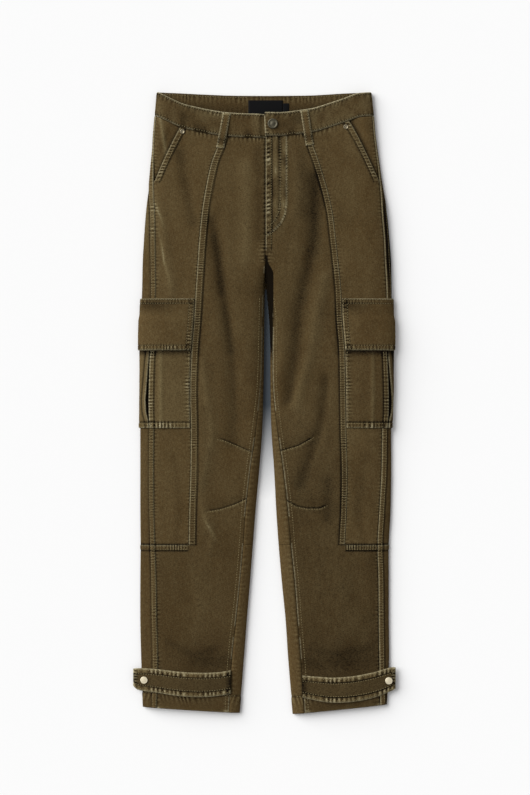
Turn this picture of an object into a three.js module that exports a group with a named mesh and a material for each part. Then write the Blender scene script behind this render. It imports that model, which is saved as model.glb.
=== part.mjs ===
// Cargo pants laid flat on their back: waist towards +Y, floor at z = 0, front side up.
// All sizes are millimetres. "down" is the distance from the top of the back waistband, "across"
// the distance from the fly line. The wearer's right leg lies on -X, the left leg on +X.
import * as THREE from 'three';

// Driving dimensions
const LENGTH = 1024;          // back waist edge to the lowest point of the hems
const FLY_SHIFT = 2;          // the fly line lies this far to +X of the middle of the box
const CLOTH = 1.2;            // twill panel
const SEAM = 0.3;             // gap between two pieces at a seam
const BAND = 40;              // height of the waistband
const BAND_WALL = 2.4;        // waistband, folded double over its stiffening
const BAND_PROUD = 0.6;       // waistband's face above the panels
const BAND_GAP = 0.7;         // between the waistband's edge and the panels' curved upper edge
const HEM = 24;               // turned hem
const HEM_END = 1010;         // hem line at the outer edge
const HEM_WALL = 2.0;
const HEM_PROUD = 0.5;
const LEG_SEAM = 745;         // cross seam below the knee
const FRONT_CROTCH = 279;     // where the front panels part
const BACK_CROTCH = 325;      // where the back panels part
const POCKET_WALL = 1.2;      // cargo pocket cloth
const POCKET_TOP = 378;
const POCKET_END = 553;
const POCKET_PUFF = 2.2;      // how far the pocket stands off the leg in its middle
const FLAP_WALL = 1.8;
const FLAP_TOP = 340;
const FLAP_END = 425;
const WRAP_END = 130;         // across, where pocket and flap end on the underside
const CLEAR = 0.4;            // between layers that lie on each other
const FACING_CLEAR = 1.5;     // between the hip pocket's facing and the panel over its edge
const LOOP_WIDTH = 13;
const LOOP_WALL = 1.3;
const TAB_WALL = 2.0;         // ankle tab, folded double
const TAB_BOW = 3.5;          // how far the ankle tab arches off the leg
const EDGE_RISE = 3.5;        // from the underside up to the fold's outermost line
const EDGE_ROLL = 5;          // how far the fold's lower half rolls in
const INNER_REACH = 22;       // how far the inner fold's upper half runs in
const BUTTON_RADIUS = 8.5;
const SNAP_RADIUS = 6;
const RIVET_RADIUS = 4;

const LOOP_LIFT = LOOP_WALL + SEAM + BAND_PROUD;
const FLAP_LIFT = FLAP_WALL + CLEAR;
const POCKET_LIFT = POCKET_WALL + CLEAR;

// A table with named columns; a look-up runs a smooth curve through the rows.
class Table {
  constructor(names, rows) {
    this.names = names;
    this.rows = rows;
  }

  at(name, key) {
    const { rows } = this;
    const column = this.names.indexOf(name);
    const last = rows.length - 1;
    if (key <= rows[0][0]) return rows[0][column];
    if (key >= rows[last][0]) return rows[last][column];
    let low = 0;
    while (rows[low + 1][0] < key) low += 1;
    const slope = (row) => {
      const before = rows[Math.max(row - 1, 0)];
      const after = rows[Math.min(row + 1, last)];
      return (after[column] - before[column]) / (after[0] - before[0]);
    };
    const span = rows[low + 1][0] - rows[low][0];
    const t = (key - rows[low][0]) / span;
    const start = rows[low][column];
    const end = rows[low + 1][column];
    return start * (1 + 2 * t) * (1 - t) ** 2 + end * t * t * (3 - 2 * t)
      + span * (slope(low) * t * (1 - t) ** 2 - slope(low + 1) * t * t * (1 - t));
  }
}

// Outline and seams of a leg: outer fold, side seam, princess seam, inseam and inner fold.
const SECTION = ['down', 'outer', 'side', 'panel', 'inseam', 'inner'];
const RIGHT_SECTIONS = new Table(SECTION, [
  [0, 179, 176.5, 50, 0, 0],
  [40, 182.5, 180, 65, 0, 0],
  [69, 185, 182.5, 72, 0, 0],
  [94, 186.5, 183.5, 80, 0, 0],
  [119, 189, 184, 89.5, 0, 0],
  [160, 193, 184, 98.5, 0, 0],
  [201, 197.5, 181.5, 105, 0, 0],
  [243, 200.5, 181, 109, 0, 0],
  [279, 202.5, 180.5, 111.5, 0.75, 0],
  [325, 203.5, 180, 114.5, 3, 1.5],
  [375, 205, 181, 117.5, 4.5, 2],
  [424, 205.5, 181.5, 121.5, 5.5, 2.5],
  [490, 205.5, 182.5, 124, 8, 3.5],
  [556, 206.5, 183, 123, 16, 5.5],
  [622, 206.5, 183.5, 123.5, 25.5, 10.5],
  [688, 206.5, 183, 125.5, 33, 16.5],
  [746, 206, 181.5, 126.5, 37, 21],
  [804, 206.5, 179.5, 127, 42, 25.5],
  [870, 206.5, 178.5, 128, 49, 31],
  [936, 205, 177, 128, 56, 36],
  [1010, 202, 179, 128, 60.5, 43],
]);
const LEFT_SECTIONS = new Table(SECTION, [
  [0, 174, 171.5, 50, 0, 0],
  [40, 178, 175.5, 61.5, 0, 0],
  [69, 180.5, 178, 72.5, 0, 0],
  [94, 184, 181, 80, 0, 0],
  [119, 187.5, 184.5, 89, 0, 0],
  [160, 193.5, 188.5, 101.5, 0, 0],
  [201, 200.5, 191, 110.5, 0, 0],
  [243, 204.5, 194.5, 115.5, 0, 0],
  [279, 207, 196, 119.5, 0.9, 0],
  [325, 208, 198.5, 124, 5.5, 1.5],
  [375, 208.5, 198.5, 126, 11.5, 5.5],
  [424, 209, 197, 130, 11.5, 7.5],
  [490, 208, 194.5, 131.5, 12.5, 8],
  [556, 207, 191.5, 132.5, 20, 9.5],
  [622, 207, 190.5, 134.5, 29.5, 14],
  [688, 206, 187, 133.5, 37, 17.5],
  [746, 203, 184, 130.5, 42, 21.5],
  [804, 203, 185.5, 130, 48, 26.5],
  [870, 203, 186, 129.5, 53, 33],
  [936, 203.5, 187, 129.5, 58.5, 37.5],
  [1010, 199.5, 188.5, 129.5, 64.5, 45],
]);

// Height of the front side's crown, and how far the outer fold's upper half runs in.
const CROWN = new Table(['down', 'height', 'reach'], [
  [0, 13, 20],
  [40, 13.5, 20],
  [120, 15, 28],
  [220, 17, 38],
  [300, 18, 42],
  [430, 18, 42],
  [553, 16, 42],
  [650, 14, 40],
  [745, 13, 36],
  [1010, 11.5, 34],
]);
const DOME = 2;               // the part of the crown that is spread over the whole width

// Lower edge of the waistband, front and back, by the distance from the fly line.
const WAIST_SEAM = ['across', 'front', 'back'];
const RIGHT_WAIST = new Table(WAIST_SEAM, [
  [0, 76.7, 45.5],
  [60, 74.3, 45],
  [98, 68.8, 43.5],
  [120, 64, 42.5],
  [139, 59.2, 41.5],
  [157, 51.2, 40.7],
  [180, 40, 40],
]);
const LEFT_WAIST = new Table(WAIST_SEAM, [
  [0, 73.3, 45.5],
  [30, 73.3, 45.3],
  [63, 69.3, 45],
  [82, 66.2, 44.5],
  [108, 58.2, 43],
  [132, 50.3, 41.5],
  [153, 42.6, 40.7],
  [176, 40, 40],
]);
const WAIST_FADE = 190;       // below this the rows run straight across

// Hem line's ends, at the outer and the inner fold
const RIGHT_HEM = { outer: 1012, inner: 1022 };
const LEFT_HEM = { outer: 1008, inner: LENGTH };
const HEM_FADE = 940;

// Upper edge of the hip pocket's mouth, across at its two ends
const MOUTH_END = 147;
const RIGHT_MOUTH = { top: 141, end: 182.5 };
const LEFT_MOUTH = { top: 138, end: 187.5 };

// Folds of the front side: height (a trough is negative), half width, and up to four points.
const FOLD = ['height', 'width', 'x0', 'y0', 'x1', 'y1', 'x2', 'y2', 'x3', 'y3'];
const RIGHT_FOLDS = [
  [-1.6, 10, 140, 102, 130, 163, 118, 216],
  [1.4, 9, 185, 163, 166, 241, 154, 332],
  [-3.2, 13, 88, 213, 72, 322, 56, 427, 51, 574],
  [2.2, 13, 102, 462, 88, 568, 104, 643, 93, 711],
  [1.5, 14, 31, 127, 31, 275],
  [-1.5, 8, 77, 569, 24, 589],
  [-1.5, 8, 93, 690, 32, 668],
  [-1.8, 10, 62, 940, 112, 938],
];
const LEFT_FOLDS = [
  [-3.2, 15, 80, 142, 76, 260, 55, 356, 40, 506],
  [2.2, 12, 96, 304, 86, 360, 58, 480, 48, 515],
  [-2.6, 11, 101, 473, 93, 541, 70, 609, 58, 647],
  [-1.5, 12, 103, 643, 103, 698],
  [1.2, 10, 47, 198, 22, 226],
  [-1.5, 8, 81, 566, 27, 589],
  [-1.5, 8, 98, 683, 35, 670],
  [-1.8, 10, 70, 942, 150, 940],
];

// Ankle tabs: upper and lower edge
const TAB = ['across', 'top', 'end'];
const RIGHT_TAB = new Table(TAB, [
  [57, 950.7, 989.7],
  [75, 953.7, 992.6],
  [104, 954.5, 994.5],
  [143, 952.7, 992.6],
  [180, 948.8, 987.7],
  [211, 948, 983.2],
  [218, 949, 977],
]);
const LEFT_TAB = new Table(TAB, [
  [60, 959.5, 995.8],
  [88, 961.4, 1001.4],
  [111, 962.4, 1003.7],
  [146, 959.8, 1002],
  [178, 954, 996.2],
  [207, 946.5, 985.5],
  [214, 946.8, 982],
]);

// Rows in which every panel is built, down the leg
const STATIONS = [BAND, 52, 66, 84, 104, 126, MOUTH_END, 168, 190, 214, 238, 260, FRONT_CROTCH, 290,
  302, 313, BACK_CROTCH, FLAP_TOP, 352, 366, POCKET_TOP, 400, FLAP_END, 434, 460, 490, 520,
  POCKET_END, 575, 600, 625, 650, 675, 700, 722, LEG_SEAM, 775, 805, 835, 865, 895, 920, 945, 968,
  HEM_END - HEM - 2, HEM_END - HEM + 2, HEM_END];

function lerp(a, b, t) {
  return a + (b - a) * t;
}

function smooth(low, high, value) {
  const t = Math.min(Math.max((value - low) / (high - low), 0), 1);
  return t * t * (3 - 2 * t);
}

function steps(from, to, count) {
  return Array.from({ length: count + 1 }, (_, index) => lerp(from, to, index / count));
}

function foldHeight(folds, across, down) {
  let sum = 0;
  for (const row of folds) {
    const fold = Object.fromEntries(FOLD.map((name, index) => [name, row[index]]));
    let nearest = Infinity;
    for (let k = 0; k < 3 && fold[`x${k + 1}`] !== undefined; k += 1) {
      const runX = fold[`x${k + 1}`] - fold[`x${k}`];
      const runY = fold[`y${k + 1}`] - fold[`y${k}`];
      const along = (across - fold[`x${k}`]) * runX + (down - fold[`y${k}`]) * runY;
      const t = Math.min(Math.max(along / (runX ** 2 + runY ** 2), 0), 1);
      nearest = Math.min(nearest, Math.hypot(across - fold[`x${k}`] - t * runX,
        down - fold[`y${k}`] - t * runY));
    }
    sum += fold.height * Math.exp(-((nearest / fold.width) ** 2));
  }
  return sum;
}

// One leg with its half of the seat. A point on its skin has a place round the section:
// 0 to 1 over the front side from the inner to the outer fold, 1 to 2 round the outer fold's lower
// half, 2 to 3 back along the underside, and 3 to 4 up the inner fold.
class Leg {
  constructor(name, sign, sections, waist, hem, mouth, folds, tab) {
    Object.assign(this, { name, sign, sections, waist, hem, mouth, folds, tab });
  }

  edge(name, row) {
    return Math.max(this.sections.at(name, row), SEAM / 2);
  }

  // How far a point lies below its row, because waist seam and hem are curved.
  drop(across, row, face) {
    const seam = this.waist.at(face, across) - BAND;
    const atWaist = seam * Math.min(Math.max((WAIST_FADE - row) / (WAIST_FADE - BAND), 0), 1);
    const outer = this.edge('outer', HEM_END);
    const share = (outer - across) / (outer - this.edge('inner', HEM_END));
    const hem = lerp(this.hem.outer, this.hem.inner, share) - HEM_END;
    return atWaist + hem * Math.min(Math.max((row - HEM_FADE) / (HEM_END - HEM_FADE), 0), 1);
  }

  // The princess seam's place in a row, read where the curved row really lies.
  panel(row) {
    const first = this.edge('panel', row);
    return this.edge('panel', row + this.drop(first, row, 'front'));
  }

  // What lies between the floor and the leg: belt loops, cargo flap and cargo pocket.
  lift(across, row) {
    const waist = LOOP_LIFT * (1 - smooth(66, 104, row));
    const ramp = (low, high) => Math.min(Math.max((row - low) / (high - low), 0), 1);
    const flap = FLAP_LIFT * (ramp(FLAP_TOP - 22, FLAP_TOP) - ramp(FLAP_END, 434));
    const pocket = POCKET_LIFT * (ramp(366, POCKET_TOP) - ramp(POCKET_END, 575));
    return waist + (flap + pocket) * smooth(103, 126, across);
  }

  top(across, row) {
    const outer = this.edge('outer', row);
    const inner = this.edge('inner', row);
    const share = (across - inner) / (outer - inner);
    const away = Math.min((outer - across) / CROWN.at('reach', row), 1);
    const fromInner = Math.min((across - inner) / INNER_REACH, 1);
    const parted = smooth(FRONT_CROTCH - 6, BACK_CROTCH, row);
    const outerRise = Math.sqrt(Math.max(1 - (1 - away) ** 2, 0));
    const innerRise = lerp(1, Math.sqrt(Math.max(1 - (1 - fromInner) ** 2, 0)), parted);
    const half = lerp(1 + share, 2 * share, parted) - 1;
    const base = EDGE_RISE + this.lift(outer, row) * smooth(0.3, 1, share);
    const crown = CROWN.at('height', row) - base - DOME * half * half;
    const fold = foldHeight(this.folds, across, row + this.drop(across, row, 'front'));
    const quiet = outerRise * innerRise;
    return base + (crown + fold * quiet) * quiet;
  }

  flat(across, row, height, face) {
    return new THREE.Vector3(this.sign * across + FLY_SHIFT,
      LENGTH / 2 - row - this.drop(across, row, face), height);
  }

  // The place on the front side, 0 to 1, of a distance across.
  place(across, row) {
    const outer = this.edge('outer', row);
    const inner = this.edge('inner', row);
    const cosine = (inner + outer - 2 * across) / (outer - inner);
    return Math.acos(Math.min(Math.max(cosine, -1), 1)) / Math.PI;
  }

  roll(row) {
    return lerp(1.5, 4.5, smooth(BACK_CROTCH, 380, row));
  }

  skin(place, row) {
    const outer = this.edge('outer', row);
    const inner = this.edge('inner', row);
    if (place <= 1) {
      const across = (inner + outer - (outer - inner) * Math.cos(Math.PI * place)) / 2;
      return this.flat(across, row, this.top(across, row), 'front');
    }
    const parted = row >= BACK_CROTCH;
    const end = parted ? inner + this.roll(row) : SEAM / 2;
    if (place <= 2) {
      const angle = (place - 1) * Math.PI / 2;
      const across = outer - EDGE_ROLL * (1 - Math.cos(angle));
      const height = this.lift(outer, row) + EDGE_RISE * (1 - Math.sin(angle));
      return this.flat(across, row, height, 'back');
    }
    if (place <= 3) {
      const across = lerp(outer - EDGE_ROLL, end, place - 2);
      return this.flat(across, row, this.lift(across, row), 'back');
    }
    const angle = (place - 3) * Math.PI / 2;
    const across = inner + this.roll(row) * (1 - Math.sin(angle));
    return this.flat(across, row, EDGE_RISE * (1 - Math.cos(angle)), 'back');
  }

  // The place on the underside, 2 to 3, of a distance across.
  under(across, row) {
    const inner = this.edge('inner', row);
    const start = this.edge('outer', row) - EDGE_ROLL;
    const end = row >= BACK_CROTCH ? inner + this.roll(row) : SEAM / 2;
    return 2 + (start - across) / (start - end);
  }

  normal(place, row) {
    const wide = 0.004;
    const long = 0.5;
    const low = Math.max(place - wide, 0);
    const round = this.skin(place + wide, row).sub(this.skin(low, row));
    const first = Math.max(row - long, 0);
    const downwards = this.skin(place, row + long).sub(this.skin(place, first));
    return downwards.cross(round).multiplyScalar(this.sign).normalize();
  }

  // A point moved out of the skin by some millimetres; level keeps it from moving sideways.
  out(place, row, distance, level = false) {
    const normal = this.normal(place, row);
    if (level) normal.set(0, 0, place > 1 ? -1 : 1);
    return this.skin(place, row).addScaledVector(normal, distance);
  }
}

const RIGHT = new Leg('right', -1, RIGHT_SECTIONS, RIGHT_WAIST, RIGHT_HEM, RIGHT_MOUTH, RIGHT_FOLDS,
  RIGHT_TAB);
const LEFT = new Leg('left', 1, LEFT_SECTIONS, LEFT_WAIST, LEFT_HEM, LEFT_MOUTH, LEFT_FOLDS,
  LEFT_TAB);

// A closed wall over a grid: outside and inside give the two faces' points of a row and a column,
// keep says which squares the piece has.
function wall(rowCount, columnCount, outside, inside, keep = () => true) {
  const numbers = new Map();
  const points = [];
  const triangles = [];
  const vertex = (face, row, column) => {
    const key = `${face},${row},${column}`;
    if (!numbers.has(key)) {
      numbers.set(key, points.length / 3);
      const point = (face === 0 ? outside : inside)(row, column);
      points.push(point.x, point.y, point.z);
    }
    return numbers.get(key);
  };
  const square = (a, b, c, d) => triangles.push(a, b, c, a, c, d);
  const kept = (row, column) => row >= 0 && column >= 0 && row < rowCount - 1
    && column < columnCount - 1 && keep(row, column);
  const rim = (r0, c0, r1, c1) => square(vertex(0, r0, c0), vertex(1, r0, c0), vertex(1, r1, c1),
    vertex(0, r1, c1));
  for (let r = 0; r < rowCount - 1; r += 1) {
    for (let c = 0; c < columnCount - 1; c += 1) {
      if (kept(r, c)) {
        square(...[[r, c], [r, c + 1], [r + 1, c + 1], [r + 1, c]].map(([i, j]) => vertex(0, i, j)));
        square(...[[r, c], [r + 1, c], [r + 1, c + 1], [r, c + 1]].map(([i, j]) => vertex(1, i, j)));
        if (!kept(r - 1, c)) rim(r, c, r, c + 1);
        if (!kept(r + 1, c)) rim(r + 1, c + 1, r + 1, c);
        if (!kept(r, c - 1)) rim(r + 1, c, r, c);
        if (!kept(r, c + 1)) rim(r, c + 1, r + 1, c + 1);
      }
    }
  }
  return solid(points, triangles);
}

// Makes the geometry with its faces pointing out.
function solid(points, triangles) {
  let volume = 0;
  const corner = (number) => new THREE.Vector3(...points.slice(number * 3, number * 3 + 3));
  for (let k = 0; k < triangles.length; k += 3) {
    const [a, b, c] = [corner(triangles[k]), corner(triangles[k + 1]), corner(triangles[k + 2])];
    volume += a.dot(b.cross(c));
  }
  if (volume < 0) triangles.reverse();
  const geometry = new THREE.BufferGeometry();
  geometry.setAttribute('position', new THREE.Float32BufferAttribute(points, 3));
  geometry.setIndex(triangles);
  return geometry;
}

const MATERIALS = {
  twill: { color: 0x4a3f26, roughness: 0.95, metalness: 0 },
  label: { color: 0x15161a, roughness: 0.85, metalness: 0 },
  button: { color: 0x6f6c66, roughness: 0.4, metalness: 0.9 },
  snap: { color: 0xb9b7b2, roughness: 0.3, metalness: 0.95 },
};
const pants = new THREE.Group();

function add(name, geometry, finish = 'twill') {
  geometry.computeVertexNormals();
  const mesh = new THREE.Mesh(geometry, new THREE.MeshStandardMaterial(MATERIALS[finish]));
  mesh.name = name;
  pants.add(mesh);
  return mesh;
}

// How far the face stands proud of the skin, and the wall's thickness, in a row of a leg.
function hemOf(row) {
  const turned = smooth(HEM_END - HEM - 2, HEM_END - HEM + 2, row);
  return { proud: HEM_PROUD * turned, thick: lerp(CLOTH, HEM_WALL, turned) };
}

// A panel whose columns are given for each row as places round the section.
function panel(leg, rows, places, keep, lowered = () => 0) {
  const columns = places(rows[0]).length;
  const level = (column, row) => column.level || (column.place > 2 && column.place <= 3
    && row < BACK_CROTCH + 1);
  const at = (r, c, depth) => {
    const row = rows[r];
    const column = places(row)[c];
    const { proud } = hemOf(row);
    const raised = column.place <= 1 ? proud : 0;
    return leg.out(column.place, row, raised - depth - lowered(column, row), level(column, row));
  };
  return wall(rows.length, columns, (r, c) => at(r, c, 0), (r, c) => at(r, c, hemOf(rows[r]).thick),
    keep);
}

function rowsBetween(first, last) {
  return STATIONS.filter((row) => row >= first && row <= last);
}

// Front centre panel: the whole front side below the cross seam, the part inside the princess seam
// above it.
function frontCentre(leg) {
  const inside = 8;
  const beside = 3;
  const rows = rowsBetween(BAND, HEM_END).map((row) => (row === LEG_SEAM ? row + SEAM / 2 : row));
  const places = (row) => {
    const start = row < FRONT_CROTCH ? SEAM / 2 : leg.edge('inseam', row) + SEAM / 2;
    const seam = row < LEG_SEAM ? leg.panel(row) - SEAM / 2 : leg.panel(row);
    const side = leg.edge('side', row) - SEAM / 2;
    const across = [...steps(start, seam, inside), ...steps(seam, side, beside).slice(1)];
    return across.map((x, column) => ({
      place: leg.place(x, row), level: column === 0 && row < FRONT_CROTCH,
    }));
  };
  const lowest = rows.findIndex((row) => row > LEG_SEAM);
  return panel(leg, rows, places, (r, c) => c < inside || r >= lowest);
}

function sideEdge(leg, row) {
  const side = leg.edge('side', row);
  if (row >= MOUTH_END) return side - SEAM / 2;
  return lerp(leg.mouth.top, leg.mouth.end, (row - BAND) / (MOUTH_END - BAND));
}

// Front side panel, from the waistband to the cross seam, cut away along the pocket's mouth.
function frontSide(leg) {
  const rows = rowsBetween(BAND, LEG_SEAM).map((row) => (row === LEG_SEAM ? row - SEAM / 2 : row));
  const places = (row) => steps(leg.place(leg.panel(row) + SEAM / 2, row),
    leg.place(sideEdge(leg, row), row), 4).map((place) => ({ place }));
  return panel(leg, rows, places);
}

// Hip pocket's facing, which fills the corner outside the mouth and lies just under its edge.
function hipFacing(leg) {
  const tuck = 9;
  const rise = 20;
  const rows = rowsBetween(BAND, MOUTH_END);
  const places = (row) => steps(sideEdge(leg, row) - tuck, leg.edge('side', row) - SEAM / 2, 4)
    .map((x) => ({ place: leg.place(x, row), x }));
  const lowered = (column, row) => (CLOTH + FACING_CLEAR)
    * (1 - smooth(4, rise, column.x - sideEdge(leg, row)));
  return panel(leg, rows, places, undefined, lowered);
}

// Back panel from the inseam, round the inner fold, the underside and the outer fold to the side
// seam. Above the crotch it starts at the seat seam.
function backPanel(leg, first, last) {
  const strip = 2;
  const rollSteps = 3;
  const underside = [0, 0.24, 0.48, 0.61, 0.8, 1];
  const rows = rowsBetween(first, last).map((row) => {
    if (row !== LEG_SEAM) return row;
    return first === LEG_SEAM ? row + SEAM / 2 : row - SEAM / 2;
  });
  const places = (row) => {
    const parted = row >= BACK_CROTCH;
    const inseam = leg.place(Math.max(leg.edge('inseam', row) - SEAM / 2, SEAM), row);
    const side = leg.place(leg.edge('side', row) + SEAM / 2, row);
    return [
      ...steps(inseam, 0, strip).map((place, index) => (
        { place, level: index === strip && !parted })),
      ...steps(4, 3, rollSteps).slice(1, -1).map((place) => ({ place })),
      ...underside.map((share) => ({ place: 3 - share })),
      ...steps(2, 1, rollSteps).slice(1, -1).map((place) => ({ place })),
      ...steps(1, side, 3).map((place) => ({ place })),
    ];
  };
  const keep = (r, c) => {
    if (c < strip) return rows[r] >= FRONT_CROTCH;
    return c >= strip + rollSteps || rows[r] >= BACK_CROTCH;
  };
  return panel(leg, rows, places, keep);
}

// The waistband's own rows hang from its lower edge, so that it keeps its height.
function band(leg, row, place, distance, level) {
  const here = leg.out(place, row, distance, level);
  const seam = leg.out(place, BAND, distance, level);
  here.y = seam.y + BAND - row;
  return here;
}

const BAND_ROWS = [0, 13, 26, BAND - BAND_GAP];
const TUCK_RISE = [4, 12];    // where the tucked end comes up to the face again

// Front waistband from the given starting columns to the side seam. The end that runs under the
// other one is tucked below the skin.
function waistbandFront(leg, starts, tuck) {
  const columns = (row) => [...starts, ...steps(14, leg.edge('side', row) - SEAM / 2, 11)];
  const at = (r, c, depth) => {
    const row = BAND_ROWS[r];
    const across = columns(row)[c];
    const tucked = tuck * (1 - smooth(TUCK_RISE[0], TUCK_RISE[1], across));
    const place = leg.place(Math.max(across, SEAM / 2), row);
    const point = band(leg, row, place, BAND_PROUD - depth - tucked, across < TUCK_RISE[1]);
    if (across < SEAM / 2) point.x = leg.sign * across + FLY_SHIFT;
    return point;
  };
  const count = columns(0).length;
  return wall(BAND_ROWS.length, count, (r, c) => at(r, c, 0), (r, c) => at(r, c, BAND_WALL));
}

// Back waistband: one strip from side seam to side seam round both folds.
function waistbandBack() {
  const half = (leg) => (row) => [
    ...steps(leg.place(leg.edge('side', row) + SEAM / 2, row), 1, 2),
    ...steps(1, 2, 3).slice(1),
    ...steps(2, 3, 4).slice(1),
  ];
  const columns = 2 * half(RIGHT)(0).length - 1;
  const at = (r, c, depth) => {
    const row = BAND_ROWS[r];
    const places = half(RIGHT)(row);
    const leg = c < places.length ? RIGHT : LEFT;
    const place = leg === RIGHT ? places[c] : half(LEFT)(row)[columns - 1 - c];
    const level = place > 2;
    const point = band(leg, row, place, BAND_PROUD - depth, level);
    if (c === places.length - 1) point.x = FLY_SHIFT;
    return point;
  };
  return wall(BAND_ROWS.length, columns, (r, c) => at(r, c, 0), (r, c) => at(r, c, BAND_WALL));
}

// Cargo pocket's cloth stands off the leg in its middle, on the front side only.
function pocketOffset(leg, place, row) {
  if (place > 2) return CLEAR;
  if (place > 1) return lerp(CLEAR + 0.6, CLEAR, place - 1);
  const start = leg.place(leg.edge('panel', row), row);
  const share = Math.min(Math.max((place - start) / (1 - start), 0), 1);
  const length = (row - POCKET_TOP) / (POCKET_END - POCKET_TOP);
  const puff = POCKET_PUFF * Math.sin(Math.PI * Math.min(share, 0.92)) * Math.sin(Math.PI
    * Math.min(Math.max(length, 0), 1));
  return CLEAR + 0.6 * smooth(0, 0.2, share) + Math.max(puff, 0);
}

// Half of the cargo pocket's slit, open in the middle of its length
function slitGap(row) {
  return SEAM / 2 + 2.3 * smooth(385, 440, row) * (1 - smooth(490, 545, row));
}

const SLIT = { right: 191.5, left: 201.5 };

function onLeg(leg, rows, places, offset, thick) {
  const columns = places(rows[0]).length;
  const at = (r, c, depth) => {
    const row = rows[r];
    const place = places(row)[c];
    return leg.out(place, row, offset(leg, place, row) + depth, place > 2);
  };
  return wall(rows.length, columns, (r, c) => at(r, c, thick), (r, c) => at(r, c, 0));
}

function cargoPocketFront(leg) {
  const places = (row) => steps(leg.place(leg.panel(row) + 0.8, row),
    leg.place(SLIT[leg.name] - slitGap(row), row), 8);
  return onLeg(leg, rowsBetween(POCKET_TOP, POCKET_END), places, pocketOffset, POCKET_WALL);
}

function wrapPlaces(leg, start, row, upper) {
  return [
    ...steps(start, 1, upper),
    ...steps(1, 2, 4).slice(1),
    ...steps(2, leg.under(WRAP_END, row), 2).slice(1),
  ];
}

function cargoPocketBack(leg) {
  const places = (row) => wrapPlaces(leg, leg.place(SLIT[leg.name] + slitGap(row), row), row, 3);
  return onLeg(leg, rowsBetween(POCKET_TOP, POCKET_END), places, pocketOffset, POCKET_WALL);
}

// The flap lies on the leg at its seam and over the pocket below that.
function flapOffset(leg, place, row) {
  const over = smooth(366, POCKET_TOP, row) * (POCKET_WALL + CLEAR);
  return pocketOffset(leg, place, row) + over;
}

function cargoFlap(leg) {
  const places = (row) => wrapPlaces(leg, leg.place(leg.panel(row) + 0.8, row), row, 9);
  return onLeg(leg, rowsBetween(FLAP_TOP, FLAP_END), places, flapOffset, FLAP_WALL);
}

// A row of the leg for a point of the front side that lies so far down.
function rowOf(leg, across, down) {
  let row = down;
  for (let k = 0; k < 6; k += 1) row = down - leg.drop(across, row, 'front');
  return row;
}

// Height of the ankle tab's underside: on the leg, arched in the middle, straight out past the fold.
function tabHeight(leg, across, down) {
  const start = leg.tab.rows[0][0];
  const leave = leg.edge('outer', down) - 16;
  const on = Math.min(across, leave);
  const row = rowOf(leg, on, down);
  const arch = TAB_BOW * Math.sin(Math.PI * Math.min((on - start) / (leave - start), 1)) ** 2;
  return leg.top(on, row) + 0.9 + arch - 0.12 * (across - on);
}

function ankleTab(leg) {
  const { rows } = leg.tab;
  const start = rows[0][0];
  const end = rows[rows.length - 1][0];
  const across = [...steps(start, end - 6, 13), end - 3, end - 0.8, end];
  const at = (r, c, thick) => {
    const x = across[c];
    const down = lerp(leg.tab.at('top', x), leg.tab.at('end', x), r / 4);
    const height = tabHeight(leg, x, down) + thick;
    return new THREE.Vector3(leg.sign * x + FLY_SHIFT, LENGTH / 2 - down, height);
  };
  return wall(5, across.length, (r, c) => at(r, c, TAB_WALL), (r, c) => at(r, c, 0));
}

// Belt loop on the front: sewn above the waistband's edge and below its seam, slack between.
function beltLoopFront(leg, topAcross, endAcross) {
  const rows = [1, 8, 20, 32, 42, 52, 60];
  const at = (r, c, thick) => {
    const share = rows[r] / rows[rows.length - 1];
    const across = lerp(topAcross, endAcross, share) + (c - 1) * LOOP_WIDTH / 2;
    const onBand = band(leg, Math.min(rows[r], BAND - SEAM), leg.place(across, 20), 0, true);
    const slack = 1.2 * Math.sin(Math.PI * share) ** 2;
    const base = BAND_PROUD + SEAM + slack + thick;
    if (rows[r] < BAND) {
      return new THREE.Vector3(leg.sign * across + FLY_SHIFT, onBand.y, onBand.z + base);
    }
    const seam = leg.waist.at('front', across);
    const down = seam + rows[r] - BAND;
    const height = leg.top(across, rowOf(leg, across, down)) + base;
    return new THREE.Vector3(leg.sign * across + FLY_SHIFT, LENGTH / 2 - down, height);
  };
  return wall(rows.length, 3, (r, c) => at(r, c, LOOP_WALL), (r, c) => at(r, c, 0));
}

// Belt loop on the back: it lies flat on the floor under the waistband.
function beltLoopBack(middle) {
  const start = 5.5;
  const length = 62;
  const geometry = new THREE.BoxGeometry(LOOP_WIDTH, length, LOOP_WALL);
  geometry.translate(middle + FLY_SHIFT, LENGTH / 2 - start - length / 2, LOOP_WALL / 2);
  geometry.deleteAttribute('normal');
  geometry.deleteAttribute('uv');
  return geometry;
}

// Woven label and size tab on the inside of the back waistband
function label(from, to, top, end, thick) {
  const seat = LOOP_LIFT - BAND_PROUD + BAND_WALL + SEAM;
  const geometry = new THREE.BoxGeometry(to - from, end - top, thick);
  geometry.translate((from + to) / 2 + FLY_SHIFT, LENGTH / 2 - (top + end) / 2, seat + thick / 2);
  return geometry;
}

// A turned metal piece that stands on the cloth
function turned(profile, x, y, z) {
  const outline = profile.map(([radius, height]) => new THREE.Vector2(radius, height));
  const geometry = new THREE.LatheGeometry(outline, 20);
  geometry.rotateX(Math.PI / 2);
  geometry.translate(x, y, z);
  return geometry;
}

function cap(radius, height) {
  const bend = steps(0, Math.PI / 2, 4).map((angle) => (
    [radius * Math.cos(angle), 0.5 + (height - 0.5) * Math.sin(angle)]));
  bend[bend.length - 1][0] = 0;
  return [[0, 0], [radius * 0.9, 0], ...bend];
}

function waistButton() {
  const across = 11.7;
  const down = 52.8;
  const height = band(LEFT, 20, LEFT.place(across, 20), BAND_PROUD + SEAM, true).z + 0.3;
  const profile = [[0, 0], [7.6, 0], [BUTTON_RADIUS, 1.2], [8.2, 2.4], [7.2, 2.9], [6.3, 2.2],
    [3, 2.6], [0, 3.1]];
  return turned(profile, across + FLY_SHIFT, LENGTH / 2 - down, height);
}

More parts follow.
